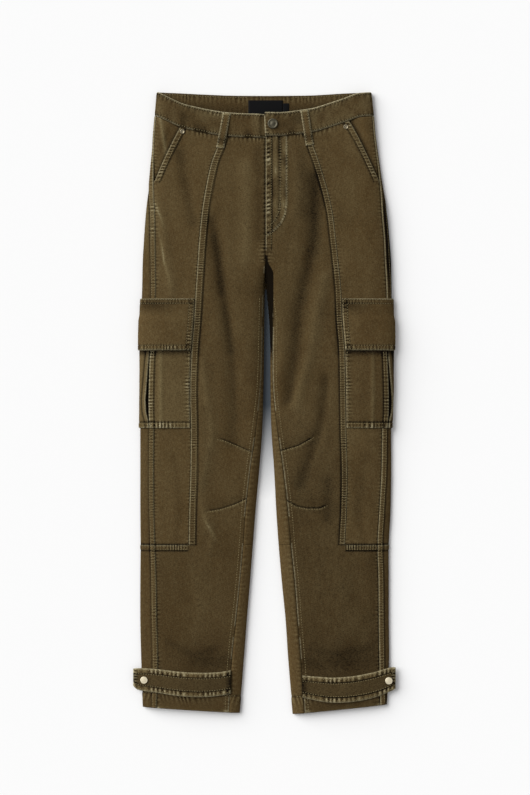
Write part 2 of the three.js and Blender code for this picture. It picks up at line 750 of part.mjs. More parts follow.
function snapCap(leg, across, down) {
  const heights = [-5, 0, 5].map((step) => tabHeight(leg, across + step, down));
  const height = Math.max(...heights) + TAB_WALL + SEAM;
  return turned(cap(SNAP_RADIUS, 2.4), leg.sign * across + FLY_SHIFT, LENGTH / 2 - down, height);
}

function rivet(leg, across, down) {
  const around = [[0, 0], [4, 0], [-4, 0], [0, 4], [0, -4]];
  const heights = around.map(([x, y]) => leg.top(across + x, rowOf(leg, across + x, down + y)));
  const height = Math.max(...heights) + SEAM;
  return turned(cap(RIVET_RADIUS, 1.4), leg.sign * across + FLY_SHIFT, LENGTH / 2 - down, height);
}

const LAP = 3;                // the left waistband laps over the fly line by this much
const UNDERLAP = 34;          // and the right one runs on beneath it

add('waistband_back', waistbandBack());
add('waistband_front_right', waistbandFront(RIGHT, [-UNDERLAP, -UNDERLAP / 2, TUCK_RISE[0], 9],
  BAND_WALL + CLEAR));
add('waistband_front_left', waistbandFront(LEFT, [-LAP, 2], 0));
add('waist_button', waistButton(), 'button');
add('belt_loop_front_right', beltLoopFront(RIGHT, 63.5, 74.5));
add('belt_loop_front_left', beltLoopFront(LEFT, 63.5, 72.5));
add('belt_loop_back_centre', beltLoopBack(0));
add('belt_loop_back_right', beltLoopBack(-95));
add('belt_loop_back_left', beltLoopBack(95));
add('waist_label', label(-28.5, 28.5, 13, 36.5, 0.8), 'label');
add('size_tab', label(28.9, 38.5, 18, 34, 0.6), 'label');
for (const leg of [RIGHT, LEFT]) {
  add(`front_centre_${leg.name}`, frontCentre(leg));
  add(`front_side_${leg.name}`, frontSide(leg));
  add(`hip_pocket_facing_${leg.name}`, hipFacing(leg));
  add(`back_upper_${leg.name}`, backPanel(leg, BAND, LEG_SEAM));
  add(`back_lower_${leg.name}`, backPanel(leg, LEG_SEAM, HEM_END));
  add(`cargo_pocket_front_${leg.name}`, cargoPocketFront(leg));
  add(`cargo_pocket_back_${leg.name}`, cargoPocketBack(leg));
  add(`cargo_flap_${leg.name}`, cargoFlap(leg));
  add(`ankle_tab_${leg.name}`, ankleTab(leg));
}
add('snap_cap_right', snapCap(RIGHT, 199.8, 967), 'snap');
add('snap_cap_left', snapCap(LEFT, 202.6, 968.2), 'snap');
add('rivet_right', rivet(RIGHT, 136.8, 65.5), 'snap');
add('rivet_left', rivet(LEFT, 132, 57.8), 'snap');

export default pants;
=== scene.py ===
"""Washed twill cargo pants laid flat on a pale floor, seen from straight above.

Lengths are millimetres until a mesh is written, which is in metres. Across is the distance from
the fly line, down the distance from the top of the back waistband. The wearer's right leg lies on
-X and the left leg on +X.
"""

from __future__ import annotations

import logging
import math
from dataclasses import dataclass, field
from enum import Enum
from typing import Callable, Optional, Sequence

import bpy
import numpy as np
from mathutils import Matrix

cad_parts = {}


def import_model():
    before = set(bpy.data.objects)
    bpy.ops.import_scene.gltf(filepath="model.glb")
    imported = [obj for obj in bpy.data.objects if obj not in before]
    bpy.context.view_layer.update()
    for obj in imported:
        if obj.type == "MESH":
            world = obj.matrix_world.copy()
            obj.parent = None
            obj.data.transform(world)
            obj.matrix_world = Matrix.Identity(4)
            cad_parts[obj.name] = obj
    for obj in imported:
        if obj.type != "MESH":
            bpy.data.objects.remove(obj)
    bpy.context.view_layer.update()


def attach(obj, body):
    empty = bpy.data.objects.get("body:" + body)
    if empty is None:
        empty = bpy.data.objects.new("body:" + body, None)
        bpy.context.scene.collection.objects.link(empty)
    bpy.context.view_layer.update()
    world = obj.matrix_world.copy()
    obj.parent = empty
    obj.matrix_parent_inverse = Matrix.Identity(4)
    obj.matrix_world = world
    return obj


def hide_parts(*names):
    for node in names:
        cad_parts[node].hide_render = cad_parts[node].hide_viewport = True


LOG = logging.getLogger("cargo_pants")
Array = np.ndarray

MM = 0.001
# The garment's length, where its fly line lies, the cloth's thickness and the gap at a seam
LENGTH = 1024.0
FLY_SHIFT = 2.0
CLOTH = 1.2
SEAM = 0.3
# The waistband and the hem: height, thickness, how far they stand proud, and the gap below the band
BAND = 40.0
BAND_WALL = 2.4
BAND_PROUD = 0.6
BAND_GAP = 0.7
HEM = 24.0
HEM_END = 1010.0
HEM_WALL = 2.0
HEM_PROUD = 0.5
# Width and height of a felled seam's band
FELL = 8.5
FELL_RISE = 0.7
# Rows of the cross seam and of the front's and the back's crotch
LEG_SEAM = 745.0
FRONT_CROTCH = 279.0
BACK_CROTCH = 325.0
# Cargo pocket and flap: thickness, rows, puff, how far in they start, and where they end behind
POCKET_WALL = 1.2
POCKET_TOP = 378.0
POCKET_END = 553.0
POCKET_PUFF = 2.2
POCKET_INSET = 0.8
POCKET_RISE = (366, POCKET_TOP)
FLAP_WALL = 1.8
FLAP_TOP = 340.0
FLAP_END = 425.0
WRAP_END = 130.0
# Gaps between layers of cloth, and over the hip pocket's facing
CLEAR = 0.4
FACING_CLEAR = 1.5
# Belt loops and ankle tabs
LOOP_WIDTH = 13.0
LOOP_WALL = 1.3
TAB_WALL = 2.0
TAB_BOW = 3.5
# The outer fold's lower half, the inner fold's reach and the leg's dome
EDGE_RISE = 3.5
EDGE_ROLL = 5.0
INNER_REACH = 22.0
DOME = 2.0
# Rows where the curve of the waist ends, where that of the hem starts, and of the pocket mouth's end
WAIST_FADE = 190.0
HEM_FADE = 940.0
MOUTH_END = 147.0
# How far a back loop, the flap and the pocket lift what lies on them
LOOP_LIFT = LOOP_WALL + SEAM + BAND_PROUD
FLAP_LIFT = FLAP_WALL + CLEAR
POCKET_LIFT = POCKET_WALL + CLEAR
# Height of the back band's inside
BAND_INSIDE = LOOP_LIFT - BAND_PROUD + BAND_WALL

# Spacing of the meshes: from row to row, and across a panel near its seams and in its middle
ROW_STEP = 1.7
FINE = 1.5
COARSE = 2.6
# Distance between the points of a stitched line
SAMPLE = 2.0
# Straight up from the floor
UP = np.array([0, 0, 1.0])
# The shortest side in metres that a sheet may be stated with; the size tab shows a little less
LEAST_SIDE_M = 0.01


def lerp(a, b, t):
    """Value between a and b at the share t."""
    return a + (b - a) * t


def clamp(value, low: float = 0.0, high: float = 1.0):
    """Value held between low and high."""
    return np.minimum(np.maximum(value, low), high)


def smooth(low: float, high: float, value):
    """Soft step from 0 at low to 1 at high."""
    t = clamp((np.asarray(value, float) - low) / (high - low))
    return t * t * (3 - 2 * t)


def bell(distance, width: float):
    """Bell curve of a distance, 1 at its middle."""
    return np.exp(-((np.asarray(distance, float) / width) ** 2))


def joined(first: Array, second: Array) -> Array:
    """An array followed by a mirrored one that shares its last column."""
    return np.concatenate([first, second[:, -2::-1]], 1)


def rows_over(rows: Array, grid: Array) -> Array:
    """The rows, repeated in every column of a grid."""
    return np.broadcast_to(rows[:, None], grid.shape)


class Table:
    """Rows under named columns, read with a smooth curve through the rows."""

    def __init__(self, names: Sequence[str], rows: Sequence[Sequence[float]]) -> None:
        """Keeps the columns; the first one is the key."""
        self.names = list(names)
        self.rows = np.array(rows, float)

    def at(self, name: str, key) -> Array:
        """Reads a column.

        Args:
            name: the column.
            key: where in the first column, a number or an array.

        Returns:
            The column's values there.
        """
        keys = self.rows[:, 0]
        column = self.rows[:, self.names.index(name)]
        slopes = np.empty_like(column)
        slopes[1:-1] = (column[2:] - column[:-2]) / (keys[2:] - keys[:-2])
        slopes[0] = (column[1] - column[0]) / (keys[1] - keys[0])
        slopes[-1] = (column[-1] - column[-2]) / (keys[-1] - keys[-2])
        held = np.clip(np.asarray(key, float), keys[0], keys[-1])
        low = np.clip(np.searchsorted(keys, held, side="left") - 1, 0, len(keys) - 2)
        span = keys[low + 1] - keys[low]
        t = (held - keys[low]) / span
        rise = column[low] * (1 + 2 * t) * (1 - t) ** 2 + column[low + 1] * t * t * (3 - 2 * t)
        return rise + span * (slopes[low] * t * (1 - t) ** 2 - slopes[low + 1] * t * t * (1 - t))


class Cloud:
    """Smooth random heights, about -1 to 1, over a plane, from a fixed seed."""

    COUNT = 97

    def __init__(self, seed: int, size: float, stretch: float = 1.0) -> None:
        """Makes a lattice with the given spacing; stretch lengthens it along the leg."""
        self.values = np.random.default_rng(seed).uniform(-1, 1, (self.COUNT, self.COUNT))
        self.size = size
        self.stretch = stretch

    def at(self, x, y) -> Array:
        """Height at a place, in mm."""
        u = np.asarray(x, float) / self.size + 31.4
        v = np.asarray(y, float) / (self.size * self.stretch) + 17.7
        i = np.floor(u).astype(int)
        j = np.floor(v).astype(int)
        a = smooth(0, 1, u - i)
        b = smooth(0, 1, v - j)
        get = lambda p, q: self.values[p % self.COUNT, q % self.COUNT]
        low = lerp(get(i, j), get(i + 1, j), a)
        high = lerp(get(i, j + 1), get(i + 1, j + 1), a)
        return lerp(low, high, b)


SECTION = ["down", "outer", "side", "panel", "inseam", "inner"]
RIGHT_SECTIONS = Table(SECTION, [
    [0, 179, 176.5, 50, 0, 0],
    [40, 182.5, 180, 65, 0, 0],
    [69, 185, 182.5, 72, 0, 0],
    [94, 186.5, 183.5, 80, 0, 0],
    [119, 189, 184, 89.5, 0, 0],
    [160, 193, 184, 98.5, 0, 0],
    [201, 197.5, 181.5, 105, 0, 0],
    [243, 200.5, 181, 109, 0, 0],
    [279, 202.5, 180.5, 111.5, 0.75, 0],
    [325, 203.5, 180, 114.5, 3, 1.5],
    [375, 205, 181, 117.5, 4.5, 2],
    [424, 205.5, 181.5, 121.5, 5.5, 2.5],
    [490, 205.5, 182.5, 124, 8, 3.5],
    [556, 206.5, 183, 123, 16, 5.5],
    [622, 206.5, 183.5, 123.5, 25.5, 10.5],
    [688, 206.5, 183, 125.5, 33, 16.5],
    [746, 206, 181.5, 126.5, 37, 21],
    [804, 206.5, 179.5, 127, 42, 25.5],
    [870, 206.5, 178.5, 128, 49, 31],
    [936, 205, 177, 128, 56, 36],
    [1010, 202, 179, 128, 60.5, 43],
])
LEFT_SECTIONS = Table(SECTION, [
    [0, 174, 171.5, 50, 0, 0],
    [40, 178, 175.5, 61.5, 0, 0],
    [69, 180.5, 178, 72.5, 0, 0],
    [94, 184, 181, 80, 0, 0],
    [119, 187.5, 184.5, 89, 0, 0],
    [160, 193.5, 188.5, 101.5, 0, 0],
    [201, 200.5, 191, 110.5, 0, 0],
    [243, 204.5, 194.5, 115.5, 0, 0],
    [279, 207, 196, 119.5, 0.9, 0],
    [325, 208, 198.5, 124, 5.5, 1.5],
    [375, 208.5, 198.5, 126, 11.5, 5.5],
    [424, 209, 197, 130, 11.5, 7.5],
    [490, 208, 194.5, 131.5, 12.5, 8],
    [556, 207, 191.5, 132.5, 20, 9.5],
    [622, 207, 190.5, 134.5, 29.5, 14],
    [688, 206, 187, 133.5, 37, 17.5],
    [746, 203, 184, 130.5, 42, 21.5],
    [804, 203, 185.5, 130, 48, 26.5],
    [870, 203, 186, 129.5, 53, 33],
    [936, 203.5, 187, 129.5, 58.5, 37.5],
    [1010, 199.5, 188.5, 129.5, 64.5, 45],
])
CROWN = Table(["down", "height", "reach"], [
    [0, 13, 20],
    [40, 13.5, 20],
    [120, 15, 28],
    [220, 17, 38],
    [300, 18, 42],
    [430, 18, 42],
    [553, 16, 42],
    [650, 14, 40],
    [745, 13, 36],
    [1010, 11.5, 34],
])
WAIST_SEAM = ["across", "front", "back"]
RIGHT_WAIST = Table(WAIST_SEAM, [
    [0, 76.7, 45.5],
    [60, 74.3, 45],
    [98, 68.8, 43.5],
    [120, 64, 42.5],
    [139, 59.2, 41.5],
    [157, 51.2, 40.7],
    [180, 40, 40],
])
LEFT_WAIST = Table(WAIST_SEAM, [
    [0, 73.3, 45.5],
    [30, 73.3, 45.3],
    [63, 69.3, 45],
    [82, 66.2, 44.5],
    [108, 58.2, 43],
    [132, 50.3, 41.5],
    [153, 42.6, 40.7],
    [176, 40, 40],
])
# Folds: height, half width, and the points that they run through, across and down
RIGHT_FOLDS = [
    [-1.6, 10, 140, 102, 130, 163, 118, 216],
    [1.4, 9, 185, 163, 166, 241, 154, 332],
    [-3.2, 13, 88, 213, 72, 322, 56, 427, 51, 574],
    [2.2, 13, 102, 462, 88, 568, 104, 643, 93, 711],
    [1.5, 14, 31, 127, 31, 275],
    [-1.5, 8, 77, 569, 24, 589],
    [-1.5, 8, 93, 690, 32, 668],
    [-1.8, 10, 62, 940, 112, 938],
]
LEFT_FOLDS = [
    [-3.2, 15, 80, 142, 76, 260, 55, 356, 40, 506],
    [2.2, 12, 96, 304, 86, 360, 58, 480, 48, 515],
    [-2.6, 11, 101, 473, 93, 541, 70, 609, 58, 647],
    [-1.5, 12, 103, 643, 103, 698],
    [1.2, 10, 47, 198, 22, 226],
    [-1.5, 8, 81, 566, 27, 589],
    [-1.5, 8, 98, 683, 35, 670],
    [-1.8, 10, 70, 942, 150, 940],
]
TAB = ["across", "top", "end"]
RIGHT_TAB = Table(TAB, [
    [57, 950.7, 989.7],
    [75, 953.7, 992.6],
    [104, 954.5, 994.5],
    [143, 952.7, 992.6],
    [180, 948.8, 987.7],
    [211, 948, 983.2],
    [218, 949, 977],
])
LEFT_TAB = Table(TAB, [
    [60, 959.5, 995.8],
    [88, 961.4, 1001.4],
    [111, 962.4, 1003.7],
    [146, 959.8, 1002],
    [178, 954, 996.2],
    [207, 946.5, 985.5],
    [214, 946.8, 982],
])

# Sharper creases than the solids have, and stretches of painted shade and of paler cloth, painted
# highlight with some rubbing, laid out like the folds
RIGHT_CREASES = [
    [-1.2, 7, 88, 213, 79, 262, 72, 322, 64, 368, 56, 427],
    [-0.7, 5, 67, 352, 56, 427, 52, 480, 50, 540],
    [1.1, 5, 103, 440, 102, 462, 93, 526, 88, 568, 104, 643, 106, 678, 93, 711, 87, 729, 92, 759],
    [-0.9, 7, 140, 102, 130, 163, 118, 216],
    [0.8, 6, 185, 163, 178, 185, 166, 241, 157, 304, 154, 332],
    [0.7, 9, 32, 120, 30, 200, 34, 280],
    [0.5, 8, 60, 250, 52, 330, 44, 400],
    [-0.6, 7, 150, 600, 140, 680, 146, 740],
    [0.5, 8, 120, 780, 110, 850, 116, 905],
    [-0.7, 6, 160, 905, 120, 925, 80, 915],
]
LEFT_CREASES = [
    [-0.7, 11, 101, 474, 98, 507, 93, 541, 86, 571, 70, 609, 58, 647],
    [0.9, 6, 110, 462, 107, 507, 103, 545, 95, 580, 80, 612],
    [-1.3, 9, 80, 142, 80, 234, 72, 279, 55, 356, 40, 507],
    [1.2, 8, 97, 304, 87, 360, 77, 427, 58, 480, 48, 515],
    [-0.8, 8, 104, 643, 103, 700],
    [0.6, 8, 50, 120, 52, 200, 46, 260],
    [0.6, 9, 120, 780, 128, 850, 118, 905],
    [-0.6, 8, 165, 600, 150, 690, 158, 740],
    [-0.7, 7, 170, 915, 120, 925, 80, 918],
]
RIGHT_LIGHT_AND_SHADE = [
    [-0.5, 8, 86, 240, 79, 275, 72, 330],
    [-0.35, 8, 100, 520, 97, 590, 106, 650],
    [-0.5, 26, 60, 944, 108, 942],
    [-0.22, 34, 70, 915, 150, 925],
    [-0.55, 9, 12, 95, 12, 240],
    [-0.5, 7, 112, 350, 113, 428],
    [0.35, 16, 31, 127, 31, 275],
    [0.25, 20, 60, 480, 70, 560],
    [-0.3, 14, 150, 60, 140, 110],
    [0.25, 14, 150, 130, 145, 200],
    [-0.3, 12, 20, 330, 22, 470],
]
LEFT_LIGHT_AND_SHADE = [
    [-0.1, 14, 84, 480, 76, 560, 60, 640],
    [-0.34, 26, 72, 947, 165, 944],
    [-0.2, 34, 80, 915, 160, 920],
    [-0.45, 10, 62, 100, 62, 200],
    [-0.55, 7, 120, 350, 118, 428],
    [-0.4, 16, 85, 140, 82, 260],
    [0.25, 16, 108, 200, 104, 300],
    [0.3, 20, 40, 300, 35, 400],
    [0.25, 16, 60, 540, 50, 600],
    [-0.3, 14, 165, 60, 160, 110],
]
# Hollows of the underside, where the cloth doesn't touch the floor
HOLLOWS = [
    [1.0, 16, 55, 150, 70, 260, 62, 330],
    [0.8, 12, 120, 120, 105, 230],
    [1.0, 14, 60, 470, 80, 590, 70, 690],
    [0.8, 12, 105, 600, 100, 700],
    [0.9, 14, 110, 800, 95, 930],
]


class Side(Enum):
    """The wearer's two sides."""

    RIGHT = "right"
    LEFT = "left"


def fold_height(folds: Sequence[Sequence[float]], across, down) -> Array:
    """Sum of the folds' heights at places on the front side."""
    across = np.asarray(across, float)
    down = np.asarray(down, float)
    total = np.zeros(np.broadcast(across, down).shape)
    for height, width, *points in folds:
        path = np.array(points).reshape(-1, 2)
        nearest = np.full(total.shape, np.inf)
        for start, end in zip(path[:-1], path[1:]):
            run = end - start
            along = (across - start[0]) * run[0] + (down - start[1]) * run[1]
            t = clamp(along / (run @ run))
            gap = np.hypot(across - start[0] - t * run[0], down - start[1] - t * run[1])
            nearest = np.minimum(nearest, gap)
        total += height * bell(nearest, width)
    return total


def track(path: Sequence[tuple[float, float]], across, down) -> tuple[Array, Array, float]:
    """Places measured along a line on the cloth.

    Args:
        path: its points, across and down.
        across: places' distances across.
        down: places' distances down.

    Returns:
        How far along the line each place lies, how far to its side, and the line's length.
    """
    along = np.zeros(np.shape(across))
    off = np.full(np.shape(across), 1e6)
    passed = 0.0
    for (x0, y0), (x1, y1) in zip(path[:-1], path[1:]):
        size = math.hypot(x1 - x0, y1 - y0)
        u, v = (x1 - x0) / size, (y1 - y0) / size
        t = (across - x0) * u + (down - y0) * v
        held = clamp(t, -12.0 if passed == 0 else 0.0, size)
        gap = np.hypot(across - x0 - held * u, down - y0 - held * v)
        side = np.sign((across - x0) * v - (down - y0) * u)
        nearer = gap < np.abs(off)
        along = np.where(nearer, passed + held, along)
        off = np.where(nearer, gap * side, off)
        passed += size
    return along, off, passed


@dataclass
class Relief:
    """What the sewing does to a piece's face, with the light and shade painted on it, one value for each
    point.

    Height is in mm; wear, shade and rope run from 0 to about 1. Rope is the strength of the puckers
    beside a seam and run counts them along it. Crest and furrow are the distances in mm from the
    nearest sharp pale and sharp dark line.
    """

    height: Array
    wear: Array
    shade: Array
    rope: Array
    run: Array
    crest: Array
    furrow: Array

    MARKS = ("wear", "shade", "rope", "run", "crest", "furrow")
    FAR = 9.0

    @classmethod
    def none(cls, shape: tuple[int, ...]) -> "Relief":
        """A plain face."""
        return cls(*(np.zeros(shape) for _ in range(5)), np.full(shape, cls.FAR),
                   np.full(shape, cls.FAR))

    def beside(self, other: "Relief") -> "Relief":
        """This face, followed by another one that is mirrored and shares its last column."""
        return Relief(*(joined(getattr(self, key), getattr(other, key))
                        for key in ("height", *self.MARKS)))

    def line(self, kind: str, distance, where=1.0) -> None:
        """Marks a sharp line.

        Args:
            kind: crest for a rubbed pale one, furrow for a dark one.
            distance: distance from it in mm.
            where: 1 where the line shows.
        """
        distance = np.where(np.asarray(where) > 0.5, np.abs(distance), self.FAR)
        setattr(self, kind, np.minimum(distance, getattr(self, kind)))

    def band(self, inside, width: float, rise: float, where=1.0) -> None:
        """Raises a felled seam or turned edge, with painted shade in the dip beside it and along its
        seam.

        Args:
            inside: distance from the seam into the band, in mm.
            width: the band's width in mm.
            rise: its height in mm.
            where: share of the effect at each place.
        """
        on = smooth(-0.3, 0.9, inside) * (1 - smooth(width - 0.8, width + 0.9, inside)) * where
        self.height += rise * on
        self.height -= 0.35 * bell(inside - width - 0.8, 1.5) * where
        self.line("crest", inside - 0.7, where)
        self.line("furrow", inside - width - 0.9, where)
        self.wear += (0.35 * bell(inside - 0.6, 1.4) + 0.15 * bell(inside - width + 1, 1.3)) * where
        self.shade += (0.4 * bell(inside - width - 1.4, 1.6) + 0.8 * bell(inside + 1.2, 1.5)) * where

    def pucker(self, along, near, pitch: float, height: float, seed: int = 0) -> None:
        """Adds the ropy puckers that washing leaves at a stitched seam.

        Args:
            along: distance along the seam in mm.
            near: 1 at the seam, falling to 0 away from it.
            pitch: mean distance from crest to crest in mm.
            height: half of the puckers' depth in mm.
            seed: shifts the pattern.
        """
        drift = 1.5 * np.sin(along / 11.3 + seed) + 1.0 * np.sin(along / 5.1 + 2.1 * seed)
        strength = 0.6 + 0.4 * np.sin(along / 23.7 + 1.7 * seed) * np.sin(along / 9.1 + seed)
        turns = along / pitch + drift / (2 * math.pi)
        self.height += height * np.sin(2 * math.pi * turns) * near * strength
        force = near * strength * clamp(height / 0.4, 0.3, 1.25)
        stronger = force > self.rope
        self.run = np.where(stronger, turns, self.run)
        self.rope = np.where(stronger, force, self.rope)

    def groove(self, distance, depth: float, width: float, where=1.0, sharp: bool = True) -> None:
        """Presses in a stitched line and paints shade along it."""
        self.height -= depth * bell(distance, width) * where
        self.shade += 0.25 * bell(distance, width) * where
        if sharp:
            self.line("furrow", distance, where)

    def wrinkle(self, x, y, seed: int, height: float = 0.35) -> None:
        """Adds the uneven hand of washed cloth, its rises painted a little paler and its dips painted
        shade.
        """
        coarse = Cloud(seed, 38, 1.6).at(x, y)
        fine = Cloud(seed + 1, 12, 1.5).at(x, y)
        self.height += height * (coarse + 0.4 * fine)
        self.wear += 0.04 * clamp(coarse) + 0.05 * clamp(fine)
        self.shade += 0.06 * clamp(-coarse) + 0.05 * clamp(-fine)


@dataclass
class Leg:
    """One leg with its half of the seat, as a skin that pieces are laid on.

    A point's place runs round the section: 0 to 1 over the front from the inner to the outer fold,
    1 to 2 round the outer fold's lower half, 2 to 3 back along the underside, 3 to 4 up the inner
    fold.
    """

    side: Side
    sign: int
    sections: Table
    waist: Table
    hem: tuple[float, float]
    mouth: tuple[float, float]
    folds: list
    tab: Table
    slit: float

    # Rows over which the leg rises to what lies under it and falls again, and the distances across
    # over which it rises to what wraps its outer edge
    LOOP_FALL = (66, 104)
    FLAP_RISE = (FLAP_TOP - 22, FLAP_TOP)
    FLAP_FALL = (FLAP_END, 434)
    POCKET_FALL = (POCKET_END, 575)
    WRAP_RISE = (103, 126)

    @property
    def word(self) -> str:
        """The side's name, as the pieces have it."""
        return self.side.value

    def edge(self, name: str, row) -> Array:
        """A line of the section table, kept clear of the fly line."""
        return np.maximum(self.sections.at(name, row), SEAM / 2)

    def drop(self, across, row, face: str) -> Array:
        """How far a point lies below its row, because waist seam and hem are curved."""
        seam = self.waist.at(face, across) - BAND
        at_waist = seam * clamp((WAIST_FADE - row) / (WAIST_FADE - BAND))
        outer = self.edge("outer", HEM_END)
        share = (outer - across) / (outer - self.edge("inner", HEM_END))
        hem = lerp(self.hem[0], self.hem[1], share) - HEM_END
        return at_waist + hem * clamp((row - HEM_FADE) / (HEM_END - HEM_FADE))

    def panel(self, row) -> Array:
        """The princess seam in a row."""
        first = self.edge("panel", row)
        return self.edge("panel", row + self.drop(first, row, "front"))

    def lift(self, across, row) -> Array:
        """What lies between the floor and the leg."""
        waist = LOOP_LIFT * (1 - smooth(*self.LOOP_FALL, row))
        ramp = lambda low, high: clamp((row - low) / (high - low))
        flap = FLAP_LIFT * (ramp(*self.FLAP_RISE) - ramp(*self.FLAP_FALL))
        pocket = POCKET_LIFT * (ramp(*POCKET_RISE) - ramp(*self.POCKET_FALL))
        return waist + (flap + pocket) * smooth(*self.WRAP_RISE, across)

    def top(self, across, row) -> Array:
        """Height of the front side's face."""
        outer = self.edge("outer", row)
        inner = self.edge("inner", row)
        share = (across - inner) / (outer - inner)
        away = np.minimum((outer - across) / CROWN.at("reach", row), 1)
        from_inner = np.minimum((across - inner) / INNER_REACH, 1)
        parted = smooth(FRONT_CROTCH - 6, BACK_CROTCH, row)
        outer_rise = np.sqrt(np.maximum(1 - (1 - away) ** 2, 0))
        inner_rise = lerp(1, np.sqrt(np.maximum(1 - (1 - from_inner) ** 2, 0)), parted)
        half = lerp(1 + share, 2 * share, parted) - 1
        base = EDGE_RISE + self.lift(outer, row) * smooth(0.3, 1, share)
        crown = CROWN.at("height", row) - base - DOME * half * half
        fold = fold_height(self.folds, across, row + self.drop(across, row, "front"))
        quiet = outer_rise * inner_rise
        return base + (crown + fold * quiet) * quiet

    def flat(self, across, row, height, face: str) -> Array:
        """Points from a distance across, a row and a height."""
        x = self.sign * across + FLY_SHIFT
        y = LENGTH / 2 - row - self.drop(across, row, face)
        return np.stack(np.broadcast_arrays(x, y, height), -1)

    def place(self, across, row) -> Array:
        """The place on the front side of a distance across."""
        outer = self.edge("outer", row)
        inner = self.edge("inner", row)
        return np.arccos(clamp((inner + outer - 2 * across) / (outer - inner), -1, 1)) / math.pi

    def across(self, place, row) -> Array:
        """The distance across of a place on the front side."""
        outer = self.edge("outer", row)
        inner = self.edge("inner", row)
        return (inner + outer - (outer - inner) * np.cos(math.pi * clamp(place))) / 2

    def roll(self, row) -> Array:
        """How far the inner fold's lower half rolls in."""
        return lerp(1.5, 4.5, smooth(BACK_CROTCH, 380, row))

    def skin(self, place, row) -> Array:
        """Points of the skin.

        Args:
            place: where round the section, 0 to 4.
            row: the row in mm.

        Returns:
            Points, with the coordinates in the last axis.
        """
        place, row = np.broadcast_arrays(np.asarray(place, float), np.asarray(row, float))
        outer = self.edge("outer", row)
        inner = self.edge("inner", row)
        end = np.where(row >= BACK_CROTCH, inner + self.roll(row), SEAM / 2)
        over = self.across(place, row)
        front = self.flat(over, row, self.top(over, row), "front")
        angle = clamp(place - 1) * math.pi / 2
        over = outer - EDGE_ROLL * (1 - np.cos(angle))
        height = self.lift(outer, row) + EDGE_RISE * (1 - np.sin(angle))
        fold = self.flat(over, row, height, "back")
        over = lerp(outer - EDGE_ROLL, end, clamp(place - 2))
        under = self.flat(over, row, self.lift(over, row), "back")
        angle = clamp(place - 3) * math.pi / 2
        over = inner + self.roll(row) * (1 - np.sin(angle))
        inside = self.flat(over, row, EDGE_RISE * (1 - np.cos(angle)), "back")
        pick = place[..., None]
        return np.where(pick <= 1, front, np.where(pick <= 2, fold, np.where(pick <= 3, under, inside)))

    def under(self, across, row) -> Array:
        """The place on the underside of a distance across."""
        start = self.edge("outer", row) - EDGE_ROLL
        inner = self.edge("inner", row)
        end = np.where(row >= BACK_CROTCH, inner + self.roll(row), SEAM / 2)
        return 2 + (start - across) / (start - end)

    def normal(self, place, row) -> Array:
        """Directions straight out of the skin."""
        place, row = np.broadcast_arrays(np.asarray(place, float), np.asarray(row, float))
        wide, long = 0.004, 0.5
        around = self.skin(place + wide, row) - self.skin(np.maximum(place - wide, 0), row)
        along = self.skin(place, row + long) - self.skin(place, np.maximum(row - long, 0))
        cross = np.cross(along, around) * self.sign
        return cross / np.maximum(np.linalg.norm(cross, axis=-1, keepdims=True), 1e-12)

    def frame(self, place, row, level=False) -> tuple[Array, Array]:
        """Points of the skin and the directions out of it; level ones point straight up or down."""
        place, row, level = np.broadcast_arrays(np.asarray(place, float), np.asarray(row, float), level)
        normal = self.normal(place, row)
        upright = np.zeros(normal.shape)
        upright[..., 2] = np.where(place > 1, -1, 1)
        return self.skin(place, row), np.where(level[..., None], upright, normal)

    def side_edge(self, row) -> Array:
        """Outer edge of the front side panel: pocket mouth, then side seam."""
        side = self.edge("side", row)
        mouth = lerp(self.mouth[0], self.mouth[1], (row - BAND) / (MOUTH_END - BAND))
        return np.where(row >= MOUTH_END, side - SEAM / 2, np.minimum(mouth, side - SEAM / 2))

    def row_of(self, across, down) -> Array:
        """The row of a point that lies so far down."""
        row = np.asarray(down, float)
        for _ in range(6):
            row = down - self.drop(across, row, "front")
        return row


RIGHT = Leg(Side.RIGHT, -1, RIGHT_SECTIONS, RIGHT_WAIST, (1012, 1022), (141, 182.5), RIGHT_FOLDS,
            RIGHT_TAB, 191.5)
LEFT = Leg(Side.LEFT, 1, LEFT_SECTIONS, LEFT_WAIST, (1008, LENGTH), (138, 187.5), LEFT_FOLDS,
           LEFT_TAB, 201.5)


def srgb(code: str) -> tuple[float, float, float, float]:
    """Linear colour of an sRGB hex value."""
    parts = [int(code[k:k + 2], 16) / 255 for k in (1, 3, 5)]
    linear = [c / 12.92 if c <= 0.04045 else ((c + 0.055) / 1.055) ** 2.4 for c in parts]
    return linear[0], linear[1], linear[2], 1.0


